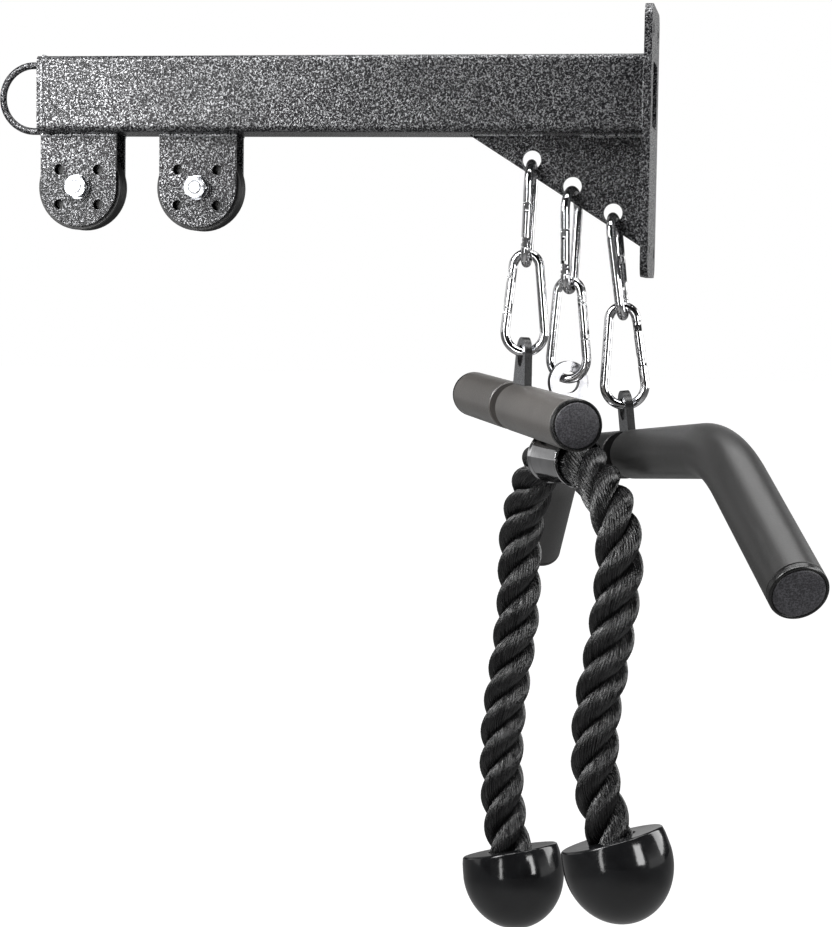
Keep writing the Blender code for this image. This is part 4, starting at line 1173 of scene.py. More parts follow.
@dataclass
class PulleyBlock:
    """Two side plates, a grooved wheel on its bearing, and the bolt that carries them."""

    arm: WallArm
    number: int
    inset: float = 0.0294
    pitch: float = 0.0988
    drop: float = 0.0430
    width: float = 0.0629
    outside: float = 0.0268
    thickness: float = 0.003
    hole_diameter: float = 0.008
    holes_apart: float = 0.0324
    holes_rise: float = 0.0280
    wheel_diameter: float = 0.0685
    wheel_width: float = 0.0185
    wheel_rim: float = 0.0026
    groove_depth: float = 0.0068
    groove_floor: float = 0.0032
    web_recess: float = 0.0025
    rim_ring: float = 0.009
    hub_wall: float = 0.0035
    bearing_diameter: float = 0.026
    bearing_width: float = 0.008
    race: float = 0.0021
    bolt_diameter: float = 0.010
    bolt_reach: float = 0.0094
    flats: float = 0.017
    head_height: float = 0.0064
    nut_height: float = 0.0062
    washer_diameter: float = 0.020
    washer_thickness: float = 0.0017
    thread_pitch: float = 0.0011
    weld_drop: float = 0.0014
    bead: Bead = Bead(0.0021, 0.0021)
    weld_seed: int = 20
    chamfer_share: float = 0.7
    seat: float = 0.0003
    edge: float = 0.0005
    facets: int = 64

    @property
    def name(self) -> str:
        """Stem of its nodes' names."""
        return f"pulley_{self.number}"

    @property
    def centre(self) -> Matrix:
        """Place of its bolt."""
        x = self.arm.cap_outside + self.inset + (self.number - 1) * self.pitch
        return at(x, 0.0, self.arm.underside - self.drop)

    @property
    def bore(self) -> float:
        """Radius of everything that the bolt passes."""
        return self.bolt_diameter / 2 + self.seat

    def piece(self, part: str, mesh: Mesh, finish: Finish, place: Matrix,
              body: str | None = None) -> None:
        """Finish a part, placed from the bolt, on the arm or on a body of its own."""
        finished(f"dressed_{self.name}_{part}", mesh, [finish], body or self.arm.body,
                 [f"{self.name}_{part}"], self.centre @ place)

    def make(self, welds: WeldMaker) -> None:
        """Build every piece of the block."""
        self.make_plates(welds)
        self.make_wheel()
        self.make_fastening()
        for part in ("bearing_inner", "spacer_front", "spacer_back"):
            node = frame["nodes"][f"{self.name}_{part}"]
            node.material_slots[0].material = ZINC.material()

    def make_plates(self, welds: WeldMaker) -> None:
        """Side plates with their four spare holes, and the welds at their tops."""
        half = self.width / 2
        top = self.drop - self.seat
        outline = [(half, top), (-half, top)] + arc((0.0, 0.0), half, 180, 360, 40)
        places = [(side * self.holes_apart / 2, level * self.holes_rise / 2)
                  for side in (-1, 1) for level in (-1, 1)]
        holes = [circle(self.hole_diameter / 2, 32, place) for place in places]
        holes.append(circle(self.bore, 32))
        mesh = softened(plate(outline, self.thickness, holes), self.edge)
        offset = (self.outside - self.thickness) / 2
        for side, label in ((-1, "front"), (1, "back")):
            self.piece(f"{label}_plate", mesh.copy(), PAINT,
                       at(y=side * offset) @ UPRIGHT_ALONG_BEAM)
        rows = []
        x = self.centre.translation.x
        for side in (-1, 1):
            y = side * self.outside / 2
            level = self.arm.underside - self.weld_drop
            path = [Vector((x + way * (half - self.bead.width), y, level)) for way in (-1, 1)]
            rows.append(welds.row(path, self.bead, self.weld_seed + self.number, LIT_WELD_PAINT))
        finished(f"weld_{self.name}", gathered(rows), [LIT_WELD_PAINT], self.arm.body, even=False)

    def wheel_profile(self) -> list[Flat]:
        """Section of the wheel, down its rim and back up its bore."""
        rim = self.wheel_diameter / 2
        half = self.wheel_width / 2
        floor = rim - self.groove_depth
        bore = self.bearing_diameter / 2 + self.seat
        web = half - self.web_recess
        ease = self.edge
        inner_rim = rim - self.rim_ring
        upper = [(bore, half - ease), (bore + ease, half), (bore + self.hub_wall - ease, half),
                 (bore + self.hub_wall, half - ease), (bore + self.hub_wall + ease, web),
                 (inner_rim - ease, web), (inner_rim, half - ease), (inner_rim + ease, half),
                 (rim - ease, half), (rim, half - ease), (rim, half - self.wheel_rim + ease),
                 (rim - ease, half - self.wheel_rim), (floor + ease, self.groove_floor),
                 (floor, self.groove_floor / 2)]
        return upper + [(radius, -height) for radius, height in reversed(upper)]

    def make_wheel(self) -> None:
        """Grooved wheel and the outer race that turns with it."""
        body = f"wheel_{self.number}"
        wheel = turned(self.wheel_profile(), self.facets, closed=True)
        self.piece("wheel", wheel, NYLON, ALONG_Y, body)
        inner = self.bore + self.race + self.seat
        race = ring(self.bearing_diameter / 2, inner, self.bearing_width, self.facets, self.seat)
        finished(f"dressed_{self.name}_bearing", race, [ZINC], body,
                 [f"{self.name}_bearing_outer"], self.centre @ ALONG_Y)

    def hexagon(self, height: float) -> Mesh:
        """Hexagonal prism about Z with its corners chamfered."""
        face = self.flats / 2
        corner = face / cos(pi / 6)
        outline = circle(corner, 6)
        half = height / 2
        slope = (corner - face) * self.chamfer_share
        cone = turned(((0.0, half), (face, half), (corner, half - slope), (corner, -half),
                       (0.0, -half)), 48)
        return combined(plate(outline, height), cone, "INTERSECT")

    def shank_profile(self, top: float, foot: float) -> list[Flat]:
        """Section of the bolt's shank with thread turns under its end."""
        radius = self.bolt_diameter / 2
        root = radius - self.thread_pitch / 2
        points = [(0.0, top), (root, top)]
        level = top - self.thread_pitch / 2
        while level > top - self.bolt_reach:
            points += [(radius, level), (root, level - self.thread_pitch / 2)]
            level -= self.thread_pitch
        return points + [(radius, level), (radius, foot), (0.0, foot)]

    def make_fastening(self) -> None:
        """Washers, nut and bolt."""
        half = self.outside / 2
        washer = ring(self.washer_diameter / 2, self.bore, self.washer_thickness, self.facets,
                      self.seat)
        offset = half + self.seat + self.washer_thickness / 2
        for side, label in ((-1, "front"), (1, "back")):
            self.piece(f"washer_{label}", washer.copy(), ZINC, at(y=side * offset) @ ALONG_Y)
        stack = half + self.washer_thickness + 2 * self.seat
        bore = turned(((0.0, self.flats), (self.bore, self.flats), (self.bore, -self.flats),
                       (0.0, -self.flats)), 32)
        nut = combined(self.hexagon(self.nut_height), bore, "DIFFERENCE")
        self.piece("nut", nut, ZINC, at(y=-stack - self.nut_height / 2) @ UPRIGHT_ALONG_BEAM)
        head = moved(self.hexagon(self.head_height),
                     at(z=-stack - self.head_height / 2) @ Matrix.Rotation(pi, 4, "X"))
        shank = turned(self.shank_profile(half + self.bolt_reach, -stack - self.head_height / 2),
                       32)
        self.piece("bolt", combined(head, shank, "UNION"), ZINC, UPRIGHT_ALONG_BEAM)


# Snap hooks

@dataclass(frozen=True)
class Hang:
    """How the two snap hooks of one station hang, in degrees."""

    label: str
    upper_lean: float
    upper_yaw: float
    upper_gate_front: bool
    lower_lean: float
    lower_yaw: float
    lower_gate_right: bool


HANGS = (
    Hang("1", -2.3, 0.0, True, -0.6, -5.0, False),
    Hang("2", -0.8, 13.0, True, 0.3, -21.5, True),
    Hang("3", 7.0, 6.0, False, 3.0, 0.0, True),
)


@dataclass
class SnapHooks:
    """The six snap hooks. A hook's wire hangs down -Z in the YZ plane, its gate on -Y."""

    wire: float = 0.0072
    length: float = 0.0847
    width: float = 0.039
    shoulder: float = 0.0285
    gate_length: float = 0.034
    gate_stub: float = 0.0024
    gate_gap: float = 0.0006
    tang_thickness: float = 0.0028
    tang_width: float = 0.0064
    tang_slot: float = 0.0036
    tooth_length: float = 0.008
    tooth_slot: float = 0.0102
    head_diameter: float = 0.003
    head_length: float = 0.0058
    head_setback: float = 0.0024
    notch_length: float = 0.0052
    rivet: float = 0.0026
    rivet_play: float = 0.0003
    running_gap: float = 0.0005
    overrun: float = 0.002
    edge: float = 0.0004
    facets: int = 36

    @property
    def radius(self) -> float:
        """The wire's radius."""
        return self.wire / 2

    @property
    def wide(self) -> float:
        """Radius of the wide end's centreline."""
        return (self.width - self.wire) / 2

    @property
    def narrow(self) -> float:
        """Radius of the narrow end's centreline."""
        return (self.shoulder - self.wire) / 2

    @property
    def reach(self) -> float:
        """Distance between the wire centres of the two ends."""
        return self.length - self.wire

    @property
    def taper(self) -> float:
        """Slant of each leg."""
        return asin((self.wide - self.narrow) / (self.reach - self.wide - self.narrow))

    @property
    def leg(self) -> Vector:
        """Way down the gate's leg."""
        return Vector((0.0, sin(self.taper), -cos(self.taper)))

    @property
    def tangent(self) -> Vector:
        """Where the gate's leg meets the narrow end's arc."""
        centre = Vector((0.0, 0.0, self.narrow - self.reach))
        return centre + self.narrow * Vector((0.0, -cos(self.taper), -sin(self.taper)))

    @property
    def hinge(self) -> Vector:
        """Centre of the gate's rivet."""
        return self.tangent - self.leg * (self.gate_stub + self.gate_gap + self.gate_length
                                          - self.radius)

    def on_leg(self, point: Vector) -> Matrix:
        """Frame on the gate's leg, -Z down it and -Y out of the hook."""
        return Matrix.Translation(point) @ Matrix.Rotation(self.taper, 4, "X")

    def pin(self, diameter: float, length: float) -> Mesh:
        """Round pin across the hook's plane."""
        half = length / 2
        radius = diameter / 2
        ease = radius / 3
        profile = ((0.0, half), (radius - ease, half), (radius, half - ease),
                   (radius, ease - half), (radius - ease, -half), (0.0, -half))
        return moved(turned(profile, 24), ALONG_X)

    def wire_mesh(self) -> Mesh:
        """Bent wire with the gate's tang and its T-headed tooth."""
        taper = degrees(self.taper)
        start = self.hinge - self.leg * (self.radius + self.gate_gap)
        wide = arc((0.0, -self.wide), self.wide, 180 + taper, -taper, 40)
        narrow = arc((0.0, self.narrow - self.reach), self.narrow, -taper, -180 + taper, 32)
        nose = self.tangent - self.leg * self.gate_stub
        path = [start, *[Vector((0.0, y, z)) for y, z in wide + narrow], nose]
        body = solid_bar(path, self.radius, self.facets, self.edge)
        half = self.tang_width / 2
        root = self.radius + self.gate_gap + self.overrun
        outline = [(half, root), (-half, root)] + arc((0.0, 0.0), half, 180, 360, 20)
        hole = circle(self.rivet / 2 + self.rivet_play, 24)
        tang = moved(plate(outline, self.tang_thickness, [hole]), UPRIGHT_ACROSS_BEAM)
        body = combined(body, moved(tang, self.on_leg(self.hinge)), "UNION")
        tooth = moved(box((self.tang_thickness, self.tang_width, self.tooth_length + self.overrun)),
                      at(z=(self.tooth_length - self.overrun) / 2))
        body = combined(body, moved(tooth, self.on_leg(nose)), "UNION")
        place = self.on_leg(nose) @ at(z=self.tooth_length - self.head_setback)
        head = moved(self.pin(self.head_diameter, self.head_length), place)
        return combined(body, head, "UNION")

    def gate_mesh(self) -> Mesh:
        """Gate about its rivet, forked at the hinge and slotted and notched at its nose."""
        foot = self.radius - self.gate_length
        bar = solid_bar([Vector((0.0, 0.0, self.radius)), Vector((0.0, 0.0, foot))], self.radius,
                        self.facets, self.edge)
        side = [(self.radius, foot - self.overrun)] + arc((0.0, 0.0), self.radius, 0, 180, 20)
        side.append((-self.radius, foot - self.overrun))
        rounded = moved(plate(side, 2 * self.wire), UPRIGHT_ACROSS_BEAM)
        gate = combined(bar, rounded, "INTERSECT")
        depth = self.radius + self.tang_width / 2 + self.running_gap
        floor = self.head_diameter / 2 + self.running_gap
        reach = floor + self.wire
        thick = 2 * self.wire
        cuts = {"fork": ((self.tang_slot, thick, depth + self.overrun), 0.0,
                         self.radius - depth / 2 + self.overrun / 2),
                "slot": ((self.tang_slot, thick, self.tooth_slot + self.overrun), 0.0,
                         foot + self.tooth_slot / 2 - self.overrun / 2),
                "notch": ((thick, reach, self.notch_length), floor - reach / 2,
                          foot - self.gate_gap + self.tooth_length - self.head_setback)}
        for size, y, z in cuts.values():
            gate = combined(gate, moved(box(size), at(y=y, z=z)), "DIFFERENCE")
        return combined(gate, self.pin(self.rivet, self.wire), "UNION")

    def make(self) -> None:
        """Place the six hooks and their gates."""
        wire, gate = self.wire_mesh(), self.gate_mesh()
        upside_down = at(z=-self.reach) @ Matrix.Rotation(pi, 4, "X")
        for hang in HANGS:
            turn = radians(-hang.upper_yaw) + (0.0 if hang.upper_gate_front else pi)
            upper = self.frame_at(f"hook_{hang.label}_upper_swing", hang.upper_lean, turn)
            turn = radians(hang.lower_yaw) + (-pi / 2 if hang.lower_gate_right else pi / 2)
            lower = self.frame_at(f"hook_{hang.label}_lower_swing", hang.lower_lean, turn)
            for level, place in (("upper", upper), ("lower", lower @ upside_down)):
                body = f"hook_{hang.label}_{level}"
                finished(f"dressed_{body}_wire", wire.copy(), [WIRE], body, [f"{body}_body"],
                         place)
                finished(f"dressed_{body}_keeper", gate.copy(), [WIRE], f"{body}_gate",
                         [f"{body}_gate"], place @ self.on_leg(self.hinge))

    @staticmethod
    def frame_at(joint: str, lean: float, turn: float) -> Matrix:
        """Frame of a hook on its joint."""
        return (Matrix.Translation(joint_place(joint)) @ Matrix.Rotation(radians(-lean), 4, "Y")
                @ Matrix.Rotation(turn, 4, "Z"))


# Attachments

@dataclass(frozen=True)
class Pose:
    """How an attachment hangs, in degrees."""

    yaw: float
    tilt: float
    roll: float

    def frame_at(self, joint: str) -> Matrix:
        """Frame on its hook's wire: +X towards the viewer along the bar, +Z up."""
        return (Matrix.Translation(joint_place(joint))
                @ Matrix.Rotation(radians(self.yaw - 90), 4, "Z")
                @ Matrix.Rotation(radians(self.tilt), 4, "Y")
                @ Matrix.Rotation(radians(self.roll), 4, "X"))


@dataclass
class GripBar:
    """What both bars share: tube, foam, lug and end plugs."""

    stem: str
    pose: Pose
    reach: float
    base: float
    bar: float = 0.025
    wall: float = 0.002
    grip: float = 0.0383
    chamfer: float = 0.0008
    plug: float = 0.006
    plug_dome: float = 0.0016
    plug_rim: float = 0.0026
    spigot: float = 0.016
    lug_thickness: float = 0.006
    lug_hole: float = 0.017
    lug_wall: float = 0.0063
    lug_seat: float = 0.0019
    hook_radius: float = 0.0036
    seat: float = 0.0003
    slit: float = 0.0006
    overcut: float = 0.002
    lug_ease: float = 0.00056
    spigot_play: float = 0.0008
    crown_groove: tuple[Flat, ...] = ((0.0003, 0.0005), (0.0007, 0.0001))
    rim_ease: tuple[Flat, ...] = ((0.0009, 0.0), (0.0002, 0.0005), (0.0, 0.0012))
    face_depth: float = 0.0004
    face_cosine: float = 0.9
    facets: int = 72

    @property
    def body(self) -> str:
        """Body that the whole bar is."""
        return f"{self.stem}_bar"

    @property
    def lug_drop(self) -> float:
        """How far the lug's hole centre is below its hook's wire centre."""
        return self.lug_hole / 2 - self.hook_radius - self.lug_seat

    def piece(self, part: str, mesh: Mesh, finishes: Sequence[Finish], place: Matrix) -> None:
        """Finish a part of the bar."""
        finished(f"dressed_{self.stem}_{part}", mesh, finishes, self.body,
                 [f"{self.body}_{part}"], place)

    def make_lug(self) -> Matrix:
        """Hang the lug, its faces bright zinc and its edges in black paint as a painted dark
        reflection, and give the tube's frame.
        """
        radius = self.lug_hole / 2 + self.lug_wall
        foot = -(self.reach - self.bar / 2 - self.seat)
        outline = [(self.base / 2, foot), *arc((0.0, 0.0), radius, 0, 180, 40),
                   (-self.base / 2, foot)]
        mesh = plate(outline, self.lug_thickness, [circle(self.lug_hole / 2, 48)])
        mesh = moved(softened(mesh, self.lug_ease), UPRIGHT_ALONG_BEAM)
        # Painted reflection: the lug's edges take black paint for the dark they reflect; its faces
        # stay zinc.
        for face in mesh.polygons:
            face.material_index = 0 if abs(face.normal.y) > self.face_cosine else 1
        hung = self.pose.frame_at(f"{self.body}_swing")
        self.piece("lug", mesh, [ZINC, BLACK_PAINT], hung @ at(z=-self.lug_drop))
        return hung @ at(z=-self.lug_drop - self.reach)

    def plug_mesh(self) -> Mesh:
        """Domed end plug on +Z with a smooth rim round its stippled face."""
        rim = self.grip / 2
        inside = self.bar / 2 - self.wall - self.spigot_play
        crown = rim - self.plug_rim
        flat = self.plug - self.plug_dome
        dome = [(crown * sin(radians(turn)), flat + self.plug_dome * (1 - turn / 90) ** 0.5)
                for turn in (0, 18, 36, 54, 72, 90)]
        profile = [*dome, *[(crown + out, flat - down) for out, down in self.crown_groove],
                   *[(rim - back, flat - down) for back, down in self.rim_ease],
                   (rim, 0.0), (inside, 0.0), (inside, -self.spigot), (0.0, -self.spigot)]
        mesh = turned(profile, self.facets)
        for face in mesh.polygons:
            spot = face.center
            on_face = spot.z > flat - self.face_depth and spot.xy.length < crown
            face.material_index = 0 if on_face else 1
        return mesh


@dataclass
class StraightBar(GripBar):
    """Short straight bar on the first station."""

    stem: str = "straight"
    pose: Pose = Pose(21.0, 1.5, -2.0)
    reach: float = 0.0415
    base: float = 0.039
    half_length: float = 0.167
    near_start: float = -0.008
    far_start: float = 0.029

    def make(self) -> None:
        """Build every piece of the bar."""
        axis = self.make_lug()
        end = self.half_length - self.plug - self.seat
        tube = hollow_bar(self.line(-end, end, 2), self.bar / 2, self.bar / 2 - self.wall,
                          self.facets, self.seat)
        self.piece("tube", tube, [BLACK_PAINT], axis)
        bore = self.bar / 2 + self.seat
        # The straight bar's grips take the paler foam copy: painted light.
        near = hollow_bar(self.line(self.near_start, end, 24), self.grip / 2, bore, self.facets,
                          self.chamfer)
        slit_end = self.base / 2 + self.slit
        length = slit_end - self.near_start + self.overcut
        cut = moved(box((length, self.lug_thickness + 2 * self.slit, self.grip)),
                    at(x=slit_end - length / 2, z=self.grip / 2))
        self.piece("near_grip", combined(near, cut, "DIFFERENCE"), [LIT_FOAM], axis)
        far = hollow_bar(self.line(-end, -self.far_start, 24), self.grip / 2, bore, self.facets,
                         self.chamfer)
        self.piece("far_grip", far, [LIT_FOAM], axis)
        plug = self.plug_mesh()
        turns = {"near": at(x=end + self.seat) @ ALONG_X,
                 "far": at(x=-end - self.seat) @ ALONG_X.inverted()}
        for label, place in turns.items():
            self.piece(f"{label}_plug", plug.copy(), [PLUG_FACE, PLUG_RIM], axis @ place)

    @staticmethod
    def line(start: float, end: float, steps: int) -> list[Vector]:
        """Evenly spaced points along X."""
        return [Vector((start + (end - start) * index / steps, 0.0, 0.0))
                for index in range(steps + 1)]


@dataclass
class LongBar(GripBar):
    """Long bar with bent ends on the third station."""

    stem: str = "long"
    pose: Pose = Pose(17.05, -4.5, 5.3)
    reach: float = 0.0355
    base: float = 0.030
    half_span: float = 0.27165
    arm: float = 0.171
    bend_radius: float = 0.150
    bend: float = 31.3
    grip_start: float = 0.0158
    bead: Bead = Bead(0.0022, 0.0017)
    bead_sink: float = 0.0002
    weld_seed: int = 31

    def half_line(self, start: float) -> list[Vector]:
        """Centreline of one half in the bar's plane, from a place near its middle."""
        bend = radians(self.bend)
        tangent = self.bend_radius * tan(bend / 2)
        first = self.half_span - tangent
        flat = [(start + (first - start) * index / 12, 0.0) for index in range(12)]
        turn = arc((first, -self.bend_radius), self.bend_radius, 90, 90 - self.bend, 24)
        arm = self.arm - self.plug - self.seat
        steps = [tangent + (arm - tangent) * index / 10 for index in range(1, 11)]
        straight = [(self.half_span + step * cos(bend), -step * sin(bend)) for step in steps]
        return [Vector((x, 0.0, z)) for x, z in flat + turn + straight]

    def make(self, welds: WeldMaker) -> None:
        """Build every piece of the bar."""
        axis = self.make_lug()
        half = self.half_line(self.grip_start)
        mirrored = [Vector((-point.x, point.y, point.z)) for point in half]
        whole = list(reversed(mirrored[1:])) + half[1:]
        tube = hollow_bar(whole, self.bar / 2, self.bar / 2 - self.wall, self.facets, self.seat)
        self.piece("tube", tube, [BLACK_PAINT], axis)
        bend = radians(self.bend)
        plug = self.plug_mesh()
        for label, side, path in (("near", 1, half), ("far", -1, mirrored)):
            grip = hollow_bar(path, self.grip / 2, self.bar / 2 + self.seat, self.facets,
                              self.chamfer)
            self.piece(f"{label}_grip", grip, [FOAM], axis)
            outward = Vector((side * cos(bend), 0.0, -sin(bend)))
            place = (axis @ Matrix.Translation(path[-1] + outward * self.seat)
                     @ Matrix.Rotation(side * (pi / 2 + bend), 4, "Y"))
            self.piece(f"{label}_plug", plug.copy(), [PLUG_FACE, PLUG_RIM], place)
        rows = []
        for side in (-1, 1):
            path = [Vector((x, side * self.lug_thickness / 2, self.bar / 2 - self.bead_sink))
                    for x in (-self.base / 2, self.base / 2)]
            rows.append(welds.row(path, self.bead, self.weld_seed + side, BLACK_PAINT))
        finished("weld_long_lug", gathered(rows), [BLACK_PAINT], self.body, place=axis,
                 even=False)


# Pull-down rope

ROPE_ROUTE: tuple[Place, ...] = (
    (-0.0562, -0.0026, -0.3641), (-0.0645, -0.0074, -0.3270), (-0.0702, -0.0107, -0.3005),
    (-0.0735, -0.0127, -0.2725), (-0.0753, -0.0132, -0.2475), (-0.0762, -0.0122, -0.2195),
    (-0.0768, -0.0091, -0.1923), (-0.0775, -0.0052, -0.1610), (-0.0781, -0.0024, -0.1363),
    (-0.0793, -0.0011, -0.1091), (-0.0812, -0.0009, -0.0820), (-0.0776, -0.0006, -0.0560),
    (-0.0660, -0.0003, -0.0330), (-0.0520, 0.0, -0.0145), (-0.0390, 0.0, -0.0035),
    (-0.0290, 0.0, -0.0002), (-0.0150, 0.0, 0.0), (0.0150, 0.0, 0.0),
    (0.0290, 0.0, -0.0002), (0.0400, 0.0, -0.0030), (0.0560, 0.0, -0.0105),
    (0.0760, 0.0003, -0.0215), (0.0935, 0.0010, -0.0400), (0.1010, 0.0019, -0.0700),
    (0.1022, -0.0002, -0.0958), (0.1029, -0.0031, -0.1205), (0.1033, -0.0070, -0.1452),
    (0.1036, -0.0118, -0.1722), (0.1042, -0.0141, -0.1984), (0.1061, -0.0134, -0.2295),
    (0.1097, -0.0092, -0.2522), (0.1154, -0.0029, -0.2764), (0.1241, 0.0059, -0.3122),
)
STEPS_A_SPAN = 12
FAR_MIDDLE_POINT = 16
MOUTH_POINT = 1


@dataclass
class PullRope:
    """Eye, sleeve, laid rope and ball ends on the second station."""

    yoke: str = "rope_yoke"
    pose: Pose = Pose(30.0, 0.0, -1.2)
    diameter: float = 0.0348
    sleeve_length: float = 0.054
    sleeve_bore: float = 0.0370
    sleeve_wall: float = 0.0017
    lip: float = 0.0012
    lip_length: float = 0.003
    eye_diameter: float = 0.033
    eye_hole: float = 0.0175
    eye_thickness: float = 0.005
    eye_neck: float = 0.021
    eye_seat: float = 0.0028
    eye_reach: float = 0.0605
    eye_round: float = 0.0018
    hook_radius: float = 0.0036
    ball: float = 0.083
    ball_top: float = 0.079
    ball_height: float = 0.0645
    ball_shoulder: float = 0.018
    ball_edge: float = 0.002
    flank_shares: tuple[float, ...] = (0.2, 0.45, 0.7)
    flank_power: float = 0.6
    socket_gap: float = 0.0006
    socket_depth: float = 0.040
    strand: float = 0.0084
    strand_offset: float = 0.0093
    lay: float = 0.080
    yarns: int = 24
    yarn_depth: float = 0.06
    yarn_twist: float = -95.0
    step: float = 0.0021
    hinge_ease: float = 0.030
    seat: float = 0.0003
    facets: int = 96

    @property
    def hung(self) -> Matrix:
        """Frame on its hook's wire."""
        return self.pose.frame_at("rope_yoke_swing")

    @property
    def eye_drop(self) -> float:
        """How far the eye's hole centre is below the hook's wire centre."""
        return self.eye_hole / 2 - self.hook_radius - self.eye_seat

    @property
    def carrier(self) -> Matrix:
        """Frame at the sleeve's centre."""
        return self.hung @ at(z=-self.eye_drop - self.eye_reach)

    def curve(self) -> list[Vector]:
        """Smooth centreline in the row's frame, from the far ball to the near one."""
        knots = [self.carrier @ Vector(point) for point in ROPE_ROUTE]
        knots = [2 * knots[0] - knots[1], *knots, 2 * knots[-1] - knots[-2]]
        curve: list[Vector] = []
        for before, start, end, after in zip(knots, knots[1:], knots[2:], knots[3:]):
            for index in range(STEPS_A_SPAN):
                t = index / STEPS_A_SPAN
                curve.append((2 * start + (end - before) * t
                              + (2 * before - 5 * start + 4 * end - after) * t ** 2
                              + (3 * start - before - 3 * end + after) * t ** 3) / 2)
        return [*curve, knots[-2]]

    def strand_tree(self) -> NodeTree:
        """Geometry tree that lays three strands of yarns round a line."""
        floats = ("Step", "Lay", "Strand Radius", "Strand Offset", "Yarn Depth", "Yarn Twist",
                  "Start", "End")
        maker = TreeMaker("laid_rope", {**dict.fromkeys(floats, "Float"), "Yarns": "Int",
                                        "Finish": "Material"})
        line = maker.add("GeometryNodeMeshToCurve", {"Mesh": maker.entry("Geometry")})
        route = maker.add("GeometryNodeResampleCurve", {
            "Curve": line.outputs[0], "Length": maker.entry("Step")}, mode="LENGTH")
        length = maker.add("GeometryNodeSplineParameter").outputs["Length"]
        kept = maker.add("GeometryNodeStoreNamedAttribute", {
            "Geometry": route.outputs[0], "Name": ALONG, "Value": length},
            data_type="FLOAT", domain="POINT")
        normal = maker.add("GeometryNodeInputNormal").outputs["Normal"]
        tangent = maker.add("GeometryNodeInputTangent").outputs[0]
        across = maker.vectors("CROSS_PRODUCT", tangent, normal).outputs["Vector"]
        per_metre = maker.maths("DIVIDE", 2 * pi, maker.entry("Lay"))
        angle = maker.maths("MULTIPLY", length, per_metre)
        profile = self.yarn_profile(maker)
        join = maker.add("GeometryNodeJoinGeometry")
        for number in range(3):
            turn = maker.maths("ADD", angle, number * 2 * pi / 3)
            sideways = maker.scaled(normal, maker.maths("COSINE", turn))
            upwards = maker.scaled(across, maker.maths("SINE", turn))
            outwards = maker.vectors("ADD", sideways, upwards).outputs["Vector"]
            offset = maker.scaled(outwards, maker.entry("Strand Offset"))
            wound = maker.add("GeometryNodeSetPosition", {
                "Geometry": kept.outputs[0], "Offset": offset})
            place = maker.add("GeometryNodeInputNamedAttribute", {"Name": ALONG},
                              data_type="FLOAT").outputs[0]
            before = maker.maths("LESS_THAN", place, maker.entry("Start"))
            beyond = maker.maths("GREATER_THAN", place, maker.entry("End"))
            outside = maker.maths("MAXIMUM", before, beyond)
            trimmed = maker.add("GeometryNodeDeleteGeometry", {
                "Geometry": wound.outputs[0], "Selection": outside}, domain="POINT", mode="ALL")
            tilt = maker.maths("MULTIPLY", place, maker.entry("Yarn Twist"))
            tilted = maker.add("GeometryNodeSetCurveTilt", {
                "Curve": trimmed.outputs[0], "Tilt": tilt})
            strand = maker.add("GeometryNodeCurveToMesh", {
                "Curve": tilted.outputs[0], "Profile Curve": profile, "Fill Caps": True})
            maker.put(join, 0, strand.outputs[0])
        dressed = maker.add("GeometryNodeSetMaterial", {
            "Geometry": join.outputs[0], "Material": maker.entry("Finish")})
        real = maker.add("GeometryNodeRealizeInstances", {0: dressed.outputs[0]})
        return maker.close(real.outputs[0])

    @staticmethod
    def yarn_profile(maker: TreeMaker) -> NodeSocket:
        """Section of one strand: a ring of yarns.

        Args:
            maker: The tree in the making.

        Returns:
            The section's curve.
        """
        points = maker.maths("MULTIPLY", maker.entry("Yarns"), 4.0)
        circle_line = maker.add("GeometryNodeCurvePrimitiveCircle", {
            "Resolution": points, "Radius": maker.entry("Strand Radius")}, mode="RADIUS")
        place = maker.add("GeometryNodeInputPosition").outputs[0]
        unit = maker.vectors("NORMALIZE", place).outputs["Vector"]
        kept = maker.add("GeometryNodeStoreNamedAttribute", {
            "Geometry": circle_line.outputs[0], "Name": ROUND, "Value": unit},
            data_type="FLOAT_VECTOR", domain="POINT")
        index = maker.add("GeometryNodeInputIndex").outputs[0]
        wave = maker.maths("COSINE", maker.maths("MULTIPLY", index, pi / 2))
        swell = maker.maths("MULTIPLY", wave, maker.entry("Yarn Depth"))
        shaped = maker.scaled(place, maker.maths("ADD", swell, 1.0))
        lobed = maker.add("GeometryNodeSetPosition", {
            "Geometry": kept.outputs[0], "Position": shaped})
        return lobed.outputs[0]

    def make(self) -> None:
        """Build every piece of the rope."""
        curve = self.curve()
        tree = self.strand_tree()
        lengths = [0.0]
        for here, there in zip(curve, curve[1:]):
            lengths.append(lengths[-1] + (there - here).length)
        middle = FAR_MIDDLE_POINT * STEPS_A_SPAN + STEPS_A_SPAN // 2
        split = lengths[middle]
        halves = (("far", 0.0, split, list(reversed(curve[:middle + 1])), ROPE_ROUTE[0],
                   ROPE_ROUTE[MOUTH_POINT], ["rope_far_arm"]),
                  ("near", split, lengths[-1], curve[middle:], ROPE_ROUTE[-1],
                   ROPE_ROUTE[-1 - MOUTH_POINT], ["rope_near_arm", "rope_middle"]))
        values = {"Step": self.step, "Lay": self.lay, "Strand Radius": self.strand,
                  "Strand Offset": self.strand_offset, "Yarns": self.yarns,
                  "Yarn Depth": self.yarn_depth, "Yarn Twist": self.yarn_twist,
                  "Finish": FIBRE.material()}
        for label, start, end, path, tip, mouth, nodes in halves:
            mesh = grown(tree, curve, {**values, "Start": start, "End": end + self.step / 10})
            rope = finished(f"laid_rope_{label}", mesh, [FIBRE], None, nodes, even=False)
            body = f"rope_{label}"
            ball = self.make_ball(label, body, mouth, tip)
            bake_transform(rope)
        self.make_eye()
        self.make_sleeve()

